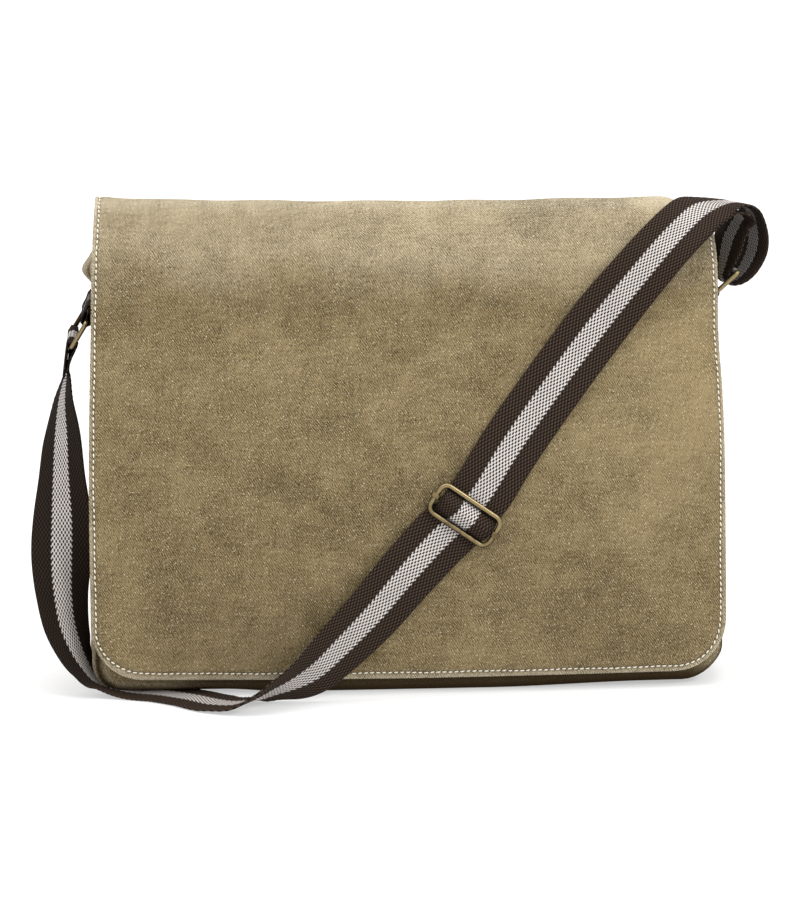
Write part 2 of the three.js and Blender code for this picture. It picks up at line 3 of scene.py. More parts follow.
import bpy
import numpy as np
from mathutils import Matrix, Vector


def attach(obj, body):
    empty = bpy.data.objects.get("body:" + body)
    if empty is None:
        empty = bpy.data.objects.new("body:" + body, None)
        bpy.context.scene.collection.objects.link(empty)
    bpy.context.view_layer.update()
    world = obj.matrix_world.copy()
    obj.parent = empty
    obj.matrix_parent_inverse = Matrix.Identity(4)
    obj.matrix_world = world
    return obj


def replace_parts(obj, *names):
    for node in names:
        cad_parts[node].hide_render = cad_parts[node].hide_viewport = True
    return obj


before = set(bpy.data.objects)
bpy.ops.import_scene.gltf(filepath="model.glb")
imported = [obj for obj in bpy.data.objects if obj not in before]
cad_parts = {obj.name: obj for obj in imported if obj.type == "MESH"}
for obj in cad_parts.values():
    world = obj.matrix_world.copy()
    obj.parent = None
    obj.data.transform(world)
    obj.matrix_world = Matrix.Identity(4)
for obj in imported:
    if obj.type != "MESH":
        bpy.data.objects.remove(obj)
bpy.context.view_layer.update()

bl_info = {
    "name": "Canvas dispatch bag",
    "version": (1, 0, 0),
    "blender": (4, 5, 0),
    "location": "View3D > Sidebar > Bag",
    "description": "Builds the cloth, webbing, stitches and brass of a canvas dispatch bag on its solids",
    "category": "Add Mesh",
}

# Every size in the tables and shape functions is in millimetres
MM = 0.001
BODY = "root"

# Body: thickness, seams, panels and the shape of the faces
CANVAS_THICK = 2.0
FLAP_THICK = 2.4
SEAM_GAP = 0.3
PANEL_HALF = 197.0
PANEL_TOP_HALF = 192.5
PANEL_BOTTOM = 4.0
PANEL_TOP = 267.0
PANEL_CORNER = 16.0
GUSSET_TOP = 274.0
FLAT_SHARE = 0.4
BASE_POWER = 1.4
BELLY_POWER = 2.5
BACK_BELLY = 0.5
RIGHT_BULGE = {"share": 0.4, "from": (180.0, 224.0)}
STRAP_HOLLOW = {"depth": 3.0, "x": (-180.0, 34.0), "y": (-30.0, 12.0)}

# Flap: edges, corners, flare at the hem and the arch over the top
FLAP_BOTTOM = 10.0
FLAP_SLANTS = (1.1, -0.5)
FLAP_BACK_HEM = 240.0
FLAP_CORNERS = (32.5, 33.0)
FLAP_EASE = 0.8
FLAP_FLARE = 2.0
FLAP_FLARE_TOP = 60.0
FLAP_BACK_GAP = 0.5
ARCH_FOOT = 264.0
ARCH_TOP = 305.5
ARCH_END_RISE = 3.2
ARCH_POWER = 1.55
STRAP_DIP = {"depth": 9.0, "x": 197.0, "reach": 23.0, "power": 4.0}

# Strap and tabs
STRAP_WIDTH = 38.0
STRAP_THICK = 1.5
STRAP_LAYER = 1.95
WEBBING_EDGE = {"thinner": 0.55, "from": (0.93, 1.0), "smooth": (0, 0.05)}
TAB_WIDTH = 34.0
TAB_LOW = 224.0
TAIL_JOIN = 207.0
LEFT_FOLD = 243.0
RIGHT_JOIN = 239.0

# Rings and slider
RING_WIRE = 1.5
RING_INNER = 39.0
RING_DROP = 18.8
RING_CORNER = 2.5
SLIDER_WIRE = 1.35
SLIDER_SPREAD = 1.2
SLIDER_LONG = 46.5
SLIDER_SHORT = 22.6
SLIDER_CORNER = 5.0
SLIDER_BAR = 1.1
SLIDER_SQUEEZE = 0.98
SLIDER_TURN = 2.5
SLIDER_SHIFT = 0.6
COLLAR_RADIUS = 3.5
COLLAR_LENGTH = 2.8
COLLAR_BEVEL = (0.15, 0.42)
COLLAR_OPENING = (20, 340)
SLIDE_GAP = 0.25
LEFT_RING = {"x": -201.65, "z": 235.0, "tilt": 31.0, "roll": 12.0}
RIGHT_RING = {"x": 197.5, "z": 248.0, "tilt": 228.0, "roll": 0.0}
SLIDER_PLACE = {"x": 32.1, "z": 114.0, "clear": 6.2}
STRAP_LEAN = 53.0
BAR_TURN = (270.0, 40.0)
HANGING_SHADE = {"most": 0.65, "from": (-212, -188)}
# Painted shade on the webbing inside the slider: most, and reach from its ends and from its sides
SLIDER_SHADE = {"most": 0.95, "ends": 1.2, "sides": 2.6}
# Rubbing and painted reflection on the brass: the bar's even level, and the frame's level at one long bar
# and what is added towards the other
BRASS_RUB_AND_REFLECTION = {"bar": 0.6, "frame": (0.66, 0.34)}
RING_BEND = RING_WIRE + SEAM_GAP + STRAP_THICK / 2
ACROSS = np.array([0, 1.0, 0])

# Lines of the cloth's grids: distances from an edge or from the base, then even steps
HEM_LINES = np.array([0, 0.7, 1.5, 2.4, 3.2, 4, 4.8, 5.7, 6.8, 8.1, 9.6, 12, 15])
SEAM_LINES = np.array([0, 0.8, 1.8, 3, 4.4, 6, 8, 11, 15])
BASE_LINES = np.array([0, 0.4, 1.2, 2.4, 4, 6, 8.5, 11.5, 15])
FLAP_STEP = 3.2
PANEL_STEP = 5.0
# Rows, columns, rings and sides of the meshes; steps of the webbing for a row and degrees for a bend
BACK_ROWS = 10
ARCH_ROWS = 41
PANEL_ROWS = 70
GUSSET_COLUMNS = 33
STITCH_RINGS = 7
STITCH_SIDES = 8
WIRE_SIDES = 20
ROD_RINGS = 12
COLLAR_RINGS = 30
FLOOR_SIDES = 96
WEBBING_STEPS = 24
BEND_STEP = 30

# Stitches: distance from the flap's sides, what is added low on the left and right, distance from the hem
SIDE_INSET = 2.4
LOW_INSETS = (0.6, 1.2)
LOW_INSET_FADE = (80, 180)
END_INSETS = (5.0, 3.7)
END_INSET_PLACES = (-200, 200)
STITCH_START = 4
BACK_SEAM = {"left": -186, "right": 184, "levels": (5.0, 12.0)}
THREAD_RADIUS = 0.47
THREAD_LIFT = 0.14
THREAD_BOW = 0.55
THREAD_BLUNT = 1.04
THREAD_FLATNESS = 0.8
THREAD_SLANT = (0.13, 0.05)
THREAD_LENGTHS = (0.88, 1.08)

STITCH_WOBBLE = {"hem": ((0.22, 0.11), (0.12, 0.31)), "side": ((0.16, 0.13), (0.1, 0.37))}
# Hem: a doubled band that falls off beyond its width, a groove and puckers along its stitches
HEM_BAND = {"height": 0.3, "fall": (0.4, 2.4)}
HEM_GROOVE = {"depth": 0.5, "reach": 0.9}
HEM_PUCKER = {"height": 0.16, "pitch": 7.6, "reach": 2.6}
HEM_SHADE = {"most": 0.6, "reach": 0.75}
# How the flap's stitches pass from side to hem, where its front begins, and how calm it is near the hem
CORNER_BLEND = (-12, 12)
FRONT_FROM = (-5, 25)
FLAP_CALM = (2, 24)
# Lips of the walls' rims
FLAP_LIP = 0.5
PANEL_LIP = 0.1
GUSSET_LIP = 0.05

# Paler cloth of the flap: along its hem, less above the lower end, and over its top in two steps, where it
# is faded cloth together with painted light from above
HEM_WEAR = {"most": 0.9, "less": 0.35, "from": (20, 45), "reach": 0.8}
TOP_FADE_AND_LIGHT = {"roll": 0.34, "roll_from": (236, 280), "ridge": 0.3, "ridge_from": (296, 307)}
# Painted shade on the base: heights, less of it at the right end, more of it in front under the hem, most
# at the floor
BASE_SHADE = {
    "low": 8, "high": 32, "right_less": 17, "right": (150, 180), "front": (10, 48), "left": (-190, -100),
    "tone": 0.48, "front_tone": 0.84, "left_less": 0.4, "floor_tone": 0.7, "floor": (3, 7),
}

# Soft waves of the cloth: height, squeeze across, reach and seed of each
RIPPLE_WAVES = 9
FLAP_WAVE_SHARE = 0.8
PANEL_WAVE_SHARE = 0.9
FLAP_WAVES = ((0.42, 1, 70, 5), (0.16, 1, 26, 11))
WEAR_WAVES = ((5, 1, 120, 41), (3, 1, 30, 42))
PANEL_WAVES = ((0.6, 1, 60, 21), (0.2, 1, 22, 22))
GUSSET_WAVES = ((0.7, 2.2, 58, 31), (0.25, 1, 20, 32))

# Weave of the canvas: distance and turn of its diagonal lines
TWILL_PITCH = 1.26
TWILL_TURN = -33.0

# Left side of the gusset: hollow beside the strap, roll along the front seam, ear and its crease at the
# top, with painted shade in the crease
LEFT_HOLLOW = {"depth": 2.8, "rise": (22, 40), "fall": (100, 150)}
SEAM_ROLL = {"height": 3.4, "edge": (3.0, 4.0), "worn": (3.0, 2.6), "rise": (3.5, 8), "fall": (34, 62)}
EAR = {"height": 2.2, "z": (262.5, 8.5), "aside": (0, 0.45)}
EAR_CREASE = {"depth": 2.0, "z": (263.0, 7.0), "aside": (0.36, 0.08)}
# Panels: calm cloth near the seams, free cloth below the flap, wear and dark line along the seam
PANEL_CALM = (3, 30)
FREE_BELOW = 25
PANEL_WEAR = {"most": 0.4, "edge": (3.2, 2.0)}
SEAM_DARK = 0.9
SEAM_WIDTHS = {"panel": 1.6, "left_more": 1.2, "left_end": -150, "gusset": 1.0}
# Gusset: power of its bulge below and in the ears, where its sides wave, wear of seams and ears, and less
# painted shade on the seam roll
GUSSET_POWERS = (2.2, 1.2)
GUSSET_POWER_FROM = (246, 262)
GUSSET_SIDE = {"from": (14, 40), "calm": (0.75, 1), "sunk": 0.6}
GUSSET_WEAR = {"seam": 0.4, "roll": 0.6, "ear": 0.75, "ear_from": (244, 256), "roll_less_shade": 0.9}
# Cloth turned in along the seams of the panels and the gusset: height and reach
PANEL_TURN_IN = (1.5, 2.2)
GUSSET_TURN_IN = (0.9, 2.4)
# The body as it stands: seam of the base pressed down, its right end off the floor
SEAM_PRESS = {"depth": 1.3, "more": 2.1, "from": (-118, -80), "rise": (0, 4), "fall": (4, 18)}
RIGHT_LIFT = {"height": 2.1, "from": (50, 150), "fall": (6, 70)}
# Lower right corner of the body: wider above and rounder below than the left
RIGHT_CORNER = {"wide": 2.7, "cut": 9.7, "power": 1.8, "height": 20.0, "from": (120, 185), "fall": (40, 90)}

# Body sections: height, half depth at the seam, forward belly, outward bulge of the side
BODY_SECTIONS = {
    "z": (4, 20, 60, 110, 160, 210, 224, 238, 250, 263, 276),
    "seam": (52, 53, 52, 48, 43, 37, 35.5, 34.2, 33, 31.8, 30),
    "belly": (3, 8, 13, 15, 13, 9, 7.5, 6.2, 5.2, 4.4, 4),
    "bulge": (4, 6.5, 6, 5, 4, 2, 1, 1, 3, 11, 5),
}

# Flap edges: distance of each side from the middle at heights of the hanging front
FLAP_SECTIONS = {
    "z": (9, 50, 130, 165, 194, 213, 250, 281, 308),
    "left": (200.3, 200.3, 200.2, 199.5, 198.7, 198.1, 197, 195.7, 194.5),
    "right": (200, 200.2, 199.4, 198.6, 197.2, 195.9, 194.9, 194.2, 193.4),
}

# Strap from the left ring down to the floor and up to the flap: x, y, z, then direction to one edge
HANGING_ROWS = (
    (-214.6, 3, 199.5, -0.04, 0.99, 0.14),
    (-218, -1, 180.5, -0.32, 0.94, 0.06),
    (-218.8, -9, 155.6, -0.64, 0.77, 0),
    (-219, -17, 131, -0.8, 0.6, 0),
    (-218.8, -25, 106, -0.95, 0.2, 0),
    (-219.4, -32, 81, -0.93, -0.3, -0.05),
    (-219, -37.5, 63.5, -0.8, -0.58, -0.08),
    (-216.4, -42.5, 44, -0.62, -0.74, -0.2),
    (-211.6, -44.5, 29.5, -0.48, -0.85, -0.12),
    (-206.6, -44, 18.9, -0.31, -0.95, -0.07),
    (-197.8, -43, 6.4, -0.15, -0.97, 0.11),
    (-180, -46.5, 1.6, -0.1, -0.99, 0.01),
    (-157, -55.5, 1.1, -0.02, -1, 0),
    (-139, -68, 1.2, 0.1, -1, 0.005),
    (-123, -84, 1.7, 0.1, -1, 0.02),
    (-110, -91, 2.9, 0, -0.98, 0.11),
    (-98, -93.5, 6.8, -0.12, -0.93, 0.31),
    (-88, -92.5, 10.8, -0.2, -0.85, 0.46),
    (-77, -91, 14.8, -0.3, -0.73, 0.6),
    (-62, -86.5, 22, -0.42, -0.5, 0.76),
    (-46.5, -81.5, 35, -0.5, -0.34, 0.8),
    (-25.3, -77, 55.5, -0.58, -0.2, 0.79),
    (-7.4, -74.6, 76, -0.68, -0.1, 0.73),
)
# Strap across the flap above the slider: x, z and clearance of the strap's middle
CROSSING_ROWS = ((60, 154.5, 3.3), (89.4, 194.3, 3.3), (121.6, 235, 3.3))
# Strap over the top corner of the flap, outer layer: x, y, z, direction to one edge, share of the width
CORNER_ROWS = (
    (141.1, -42.2, 258.3, -0.78, 0.12, 0.6, 0.95),
    (161.1, -36.6, 280.2, -0.72, 0.37, 0.56, 0.92),
    (173.6, -30, 291.5, -0.66, 0.5, 0.54, 0.92),
    (185.2, -20.8, 299.4, -0.5, 0.72, 0.46, 0.95),
    (198.4, -11, 303, -0.22, 0.95, 0.2, 1),
)
# Strap loop outside the right edge, through the right ring and back over the corner: x, y, z, yaw
LOOP_ROWS = (
    (212, -6, 303.4, 4),
    (221.2, -3, 299, 8),
    (225.2, -1, 287, 14),
    (224.8, 0, 273.5, 17),
    (219.6, 0, 261.5, 15),
    (213.2, 0, 254, 8),
    (208, 0, 252.2, 0),
    (204.9, 0, 256.8, 1),
    (205.8, 0, 263.6, 9),
    (207.4, 0, 272, 15),
    (209.4, -1, 281, 19),
    (213.2, -2, 289, 17),
    (215.4, -3, 294.8, 10),
    (210.8, -6, 298.6, 6),
)
# Strap weave through the slider: distance along the strap, height over the slider's plane, side shift
WEAVE_ROWS = (
    (-20, -3.7, 4.4), (-9.95, -3.1, 2.2), (-8.6, -2.7, 1.8), (-4.5, 1, 0.8), (0, 3.95, 0),
    (4.5, 1, 0), (8.6, -2.7, 0), (9.95, -3.1, 0), (20, -2.8, 0),
)
RETURN_ROWS = ((9.95, -5.05), (4, -3))

# Pale and dark places of the flap's front, washed patches, bands across the top and painted shadows beside
# the strap: x, z, reach along and across a line, its turn, tone
FLAP_FADES_AND_SHADOWS = (
    (-50, 244, 190, 13, 0, -0.04),
    (-75, 205, 80, 5, 0, 0.05),
    (152, 130, 60, 16, 90, 0.09),
    (-97, 222, 24, 14, 0, 0.1),
    (-1, 236, 18, 14, 0, 0.1),
    (-172, 261, 22, 8, 0, -0.07),
    (138, 196, 85, 26, 53, 0.13),
    (180, 174, 50, 26, 90, 0.3),
    (-120, 15, 50, 8, 0, 0.2),
    (-190, 138, 50, 9, 90, 0.1),
    (152, 74, 24, 13, 90, 0.11),
    # Painted shadow beside the strap at the top right corner
    (184, 266, 22, 9, 53, -0.2),
    (138, 114, 32, 18, 60, 0.16),
    (126, 56, 40, 26, 30, -0.18),
    (60, 25, 80, 9, 0, 0.05),
    (-150, 70, 50, 30, 90, -0.05),
    (-48, 118, 55, 20, -20, -0.1),
    (-80, 264, 150, 10, 0, 0.08),
    (88, 304, 46, 9, 0, -0.12),
    (-100, 293, 90, 9, 0, -0.08),
    (-60, 299, 110, 9, 0, 0.04),
    (170, 299, 20, 12, 0, 0.3),
    (-106, 282, 30, 22, 0, 0.11),
    (12, 288, 30, 24, 0, 0.13),
    (94, 271, 28, 14, 0, 0.19),
    (-184, 293, 22, 16, 0, 0.1),
    # Painted shadows of the strap on the flap, left of it above and below the slider
    (16, 130, 26, 8, 53, -0.2),
    (-38, 63, 48, 8, 47, -0.16),
)
# Dents and swells of the flap's front: x, z, reach along and across a line, its turn, height outward
FLAP_DENTS = (
    (0, 229, 260, 15, 0, -2.2),
    (120, 165, 60, 34, 20, 1.6),
    (-150, 200, 46, 14, -12, -0.8),
    (-60, 150, 80, 22, 8, 0.8),
    (60, 60, 70, 18, 12, -0.9),
    (-120, 70, 70, 20, -8, 0.8),
    (150, 70, 40, 16, 30, -0.9),
)

# Millimetres of the camera's sensor
SENSOR_WIDTH = 36.0
# Soft lights: name, place in metres, size and share of the key light's power
STAGE_LIGHTS = (
    ("key_light", (-0.15, -0.05, 1.9), 1.8, 0.85),
    ("front_light", (1.3, -1.6, 1.7), 0.5, 0.6),
)


# Curves and the shapes of body and flap

def smoothstep(value, low, high):
    """0 below low, 1 above high and a smooth ramp between them."""
    share = np.clip((value - low) / (high - low), 0, 1)
    return share * share * (3 - 2 * share)


def between(value, rise, fall):
    """1 between two ramps, the first up and the second down."""
    return smoothstep(value, *rise) * (1 - smoothstep(value, *fall))


def bell(value, middle, reach):
    """1 in the middle, falling off smoothly over the reach on both sides."""
    return np.exp(-((value - middle) / reach) ** 2)


def run_length(path):
    """Distance along a path at each of its points."""
    return np.concatenate([[0], np.cumsum(np.linalg.norm(np.diff(path, axis=0), axis=1))])


def eased(share, first, rise, leave, arrive):
    """Cubic curve from a first value over a rise, with its slopes at both ends."""
    bend = share ** 2 * (3 * rise - 2 * leave - arrive) + share ** 3 * (leave + arrive - 2 * rise)
    return first + share * leave + bend


def round_angles(count):
    """Even angles once round a circle."""
    return np.arange(count) * 2 * math.pi / count


def column(table, name, z):
    """Smooth curve through one column of a table, read at heights z."""
    heights = np.array(table["z"], float)
    values = np.array(table[name], float)
    slopes = np.gradient(values, heights)
    slopes[1:-1] = (values[2:] - values[:-2]) / (heights[2:] - heights[:-2])
    z = np.clip(np.asarray(z, float), heights[0], heights[-1])
    row = np.clip(np.searchsorted(heights, z) - 1, 0, len(heights) - 2)
    span = heights[row + 1] - heights[row]
    share = (z - heights[row]) / span
    rise = values[row + 1] - values[row]
    return eased(share, values[row], rise, slopes[row] * span, slopes[row + 1] * span)


def straight_half(z):
    """Half width of the body at a height, before its bottom corners are cut."""
    taper = np.clip((z - PANEL_BOTTOM) / (PANEL_TOP - PANEL_BOTTOM), 0, 1)
    return PANEL_HALF + (PANEL_TOP_HALF - PANEL_HALF) * taper


def body_half(z):
    """Half width of the body at a height, with its round bottom corners."""
    below = np.clip(PANEL_BOTTOM + PANEL_CORNER - z, 0, PANEL_CORNER)
    return straight_half(z) - PANEL_CORNER + np.sqrt(PANEL_CORNER ** 2 - below ** 2)


def face_depth(x, z, half, belly_share):
    """Depth of the body's face in front of or behind its middle."""
    inward = np.minimum(1, np.abs(x) / half) ** BELLY_POWER
    return column(BODY_SECTIONS, "seam", z) + belly_share * column(BODY_SECTIONS, "belly", z) * (1 - inward)


def flap_half(z, side):
    """Half width of the flap on the side that the sign of side names."""
    return np.where(side < 0, column(FLAP_SECTIONS, "left", z), column(FLAP_SECTIONS, "right", z))


def flap_depth(x, z):
    """Depth of the flap's outer face in front of the middle of the bag."""
    flare = FLAP_FLARE * (1 - smoothstep(z, FLAP_BOTTOM, FLAP_FLARE_TOP))
    return face_depth(x, z, flap_half(z, x), 1) + FLAP_EASE + FLAP_THICK + flare


def arch_height(x, across):
    """Height of the flap's arch over its foot, dipping where the strap crosses the right corner."""
    away = np.abs(x - STRAP_DIP["x"]) / STRAP_DIP["reach"]
    dip = STRAP_DIP["depth"] * np.exp(-(away ** STRAP_DIP["power"]))
    return ARCH_TOP + ARCH_END_RISE * across * across - dip - ARCH_FOOT


def ripple(x, z, rows):
    """Soft uneven waves from the rows of a table, the same on every run."""
    total = np.zeros(np.broadcast(x, z).shape)
    for height, squeeze, reach, seed in rows:
        draws = np.random.default_rng(seed)
        waves = np.zeros(total.shape)
        for _ in range(RIPPLE_WAVES):
            turn, phase = draws.uniform(0, 2 * math.pi, 2)
            pitch = reach * draws.uniform(0.7, 1.6)
            along = x * squeeze * math.cos(turn) + z * math.sin(turn)
            waves += np.sin(along * 2 * math.pi / pitch + phase)
        total += height * (waves / math.sqrt(RIPPLE_WAVES / 2))
    return total


def wobble(value, rows):
    """Small sideways drift of a line of stitches, from heights and rates."""
    return sum(height * np.sin(value * rate) for height, rate in rows)


def spots_on(x, z, spots):
    """Sum of soft turned spots over a face, from the rows of a table."""
    total = np.zeros_like(x)
    for middle_x, middle_z, long, short, degrees, height in spots:
        turn = math.radians(degrees)
        right, up = x - middle_x, z - middle_z
        along = right * math.cos(turn) + up * math.sin(turn)
        across = up * math.cos(turn) - right * math.sin(turn)
        total += height * np.exp(-(along / long) ** 2 - (across / short) ** 2)
    return total


def unit(vectors):
    """Vectors scaled to length one along the last axis."""
    length = np.linalg.norm(vectors, axis=-1, keepdims=True)
    return vectors / np.maximum(length, 1e-9)


def grid_normals(grid):
    """Normals of a grid of points, from its rows and columns."""
    return unit(np.cross(np.gradient(grid, axis=1), np.gradient(grid, axis=0)))


def edge_spaced(half, near, step):
    """Shares of a half width from -1 to 1: close lines near both edges, then even steps."""
    count = max(2, round((half - near[-1]) / step))
    offsets = np.concatenate([near, np.linspace(near[-1], half, count + 1)[1:]])
    share = 1 - offsets / offsets[-1]
    return np.concatenate([-share, share[-2::-1]])


# Meshes

def add_object(name, data, place=(0, 0, 0), facing=None):
    """Adds an object to the scene, turned to face a direction if one is given."""
    thing = bpy.data.objects.new(name, data)
    thing.location = place
    if facing is not None:
        thing.rotation_euler = facing.to_track_quat("-Z", "Y").to_euler()
    bpy.context.scene.collection.objects.link(thing)
    return thing


def make_piece(name, points, faces, look, flat=None, marks=None):
    """Adds a smooth mesh piece from points in millimetres, riding on the bag's body."""
    points = np.asarray(points, float)
    mesh = bpy.data.meshes.new(name)
    mesh.from_pydata((points * MM).tolist(), [], [list(face) for face in faces])
    mesh.polygons.foreach_set("use_smooth", np.ones(len(mesh.polygons), bool))
    corners = np.empty(len(mesh.loops), np.int32)
    mesh.loops.foreach_get("vertex_index", corners)
    if flat is not None:
        layer = mesh.uv_layers.new(name="cloth")
        layer.data.foreach_set("uv", np.asarray(flat, np.float32)[corners].ravel())
    for mark, values in (marks or {}).items():
        layer = mesh.attributes.new(mark, "FLOAT", "POINT")
        layer.data.foreach_set("value", np.asarray(values, np.float32).ravel())
    mesh.materials.append(look)
    mesh.validate()
    mesh.update()
    piece = add_object(name, mesh)
    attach(piece, BODY)
    return piece


def outward(points, faces):
    """Faces turned so that a closed mesh has its normals out."""
    points = np.asarray(points, float)
    volume = 0.0
    for face in faces:
        a, b, c = points[face[0]], points[face[1]], points[face[2]]
        volume += np.dot(a, np.cross(b, c))
        if len(face) == 4:
            volume += np.dot(a, np.cross(c, points[face[3]]))
    return faces if volume > 0 else [face[::-1] for face in faces]


def shell(outer, inner, lip):
    """Closed wall between two grids of points, with a round lip along its rim."""
    rows, columns = outer.shape[:2]
    count = rows * columns
    index = np.arange(count).reshape(rows, columns)
    quads = np.stack([index[:-1, :-1], index[:-1, 1:], index[1:, 1:], index[1:, :-1]], -1).reshape(-1, 4)
    ring = np.concatenate([
        index[0, :-1], index[:-1, -1], index[-1, ::-1][:-1], index[::-1, 0][:-1],
    ])
    following = np.roll(ring, -1)
    inside = index[np.clip(ring // columns, 1, rows - 2), np.clip(ring % columns, 1, columns - 2)]
    flat_outer = outer.reshape(-1, 3)
    flat_inner = inner.reshape(-1, 3)
    out = unit(flat_outer[ring] - flat_outer[inside])
    rim = (flat_outer[ring] + flat_inner[ring]) / 2 + out * lip
    lips = 2 * count + np.arange(len(ring))
    next_lips = np.roll(lips, -1)
    faces = quads.tolist() + (quads + count)[:, ::-1].tolist()
    faces += np.stack([ring, lips, next_lips, following], -1).tolist()
    faces += np.stack([lips, ring + count, following + count, next_lips], -1).tolist()
    points = np.concatenate([flat_outer, flat_inner, rim])
    return points, outward(points, faces), ring


def shell_values(values, ring):
    """Values of a grid repeated for the outer face, the inner face and the rim of its shell."""
    flat = values.reshape(-1, values.shape[-1]) if values.ndim == 3 else values.ravel()
    return np.concatenate([flat, flat, flat[ring]])


def make_wall(name, node, outer, inner, lip, look, flat, marks):
    """Adds a closed wall of canvas that stands for a solid, with its flat places and its marks."""
    points, faces, ring = shell(outer, inner, lip)
    marks = {mark: shell_values(values, ring) for mark, values in marks.items()}
    piece = make_piece(name, points, faces, look, shell_values(flat, ring), marks)
    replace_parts(piece, node)
    return piece


def tube(sections, closed):
    """Points and faces of a run of equal sections, capped or closed into a ring."""
    count, sides = sections.shape[:2]
    index = np.arange(count * sides).reshape(count, sides)
    following = np.roll(index, -1, axis=0) if closed else index[1:]
    index = index if closed else index[:-1]
    faces = np.stack(
        [index, np.roll(index, -1, 1), np.roll(following, -1, 1), following], -1
    ).reshape(-1, 4).tolist()
    if not closed:
        faces.append(list(range(sides))[::-1])
        faces.append(list(range((count - 1) * sides, count * sides)))
    points = sections.reshape(-1, 3)
    return points, outward(points, faces)


def joined(parts):
    """One list of points and one of faces from several pairs of them."""
    points, faces, start = [], [], 0
    for part_points, part_faces in parts:
        points.append(part_points)
        faces += [[corner + start for corner in face] for face in part_faces]
        start += len(part_points)
    return np.concatenate(points), faces


# Cloth of the body and flap

def sewn_edge(distance, inset, along, hem):
    """Height of a hem over the cloth: a doubled band, pressed in along its stitches and puckered."""
    past = distance - hem
    band = HEM_BAND["height"] * (1 - smoothstep(past, *HEM_BAND["fall"]))
    groove = HEM_GROOVE["depth"] * bell(distance, inset, HEM_GROOVE["reach"])
    waves = HEM_PUCKER["height"] * np.sin(2 * math.pi * along / HEM_PUCKER["pitch"])
    return band - groove + waves * bell(distance, inset, HEM_PUCKER["reach"])


def round_distance(side, end, corner):
    """Distance inside an outline with round corners, from the distances to its side and its end."""
    both = (side < corner) & (end < corner)
    away = corner - np.hypot(np.maximum(corner - side, 0), np.maximum(corner - end, 0))
    return np.where(both, away, np.minimum(side, end))


def end_inset(x):
    """Distance of the stitches from the hem."""
    return np.interp(x, END_INSET_PLACES, END_INSETS)


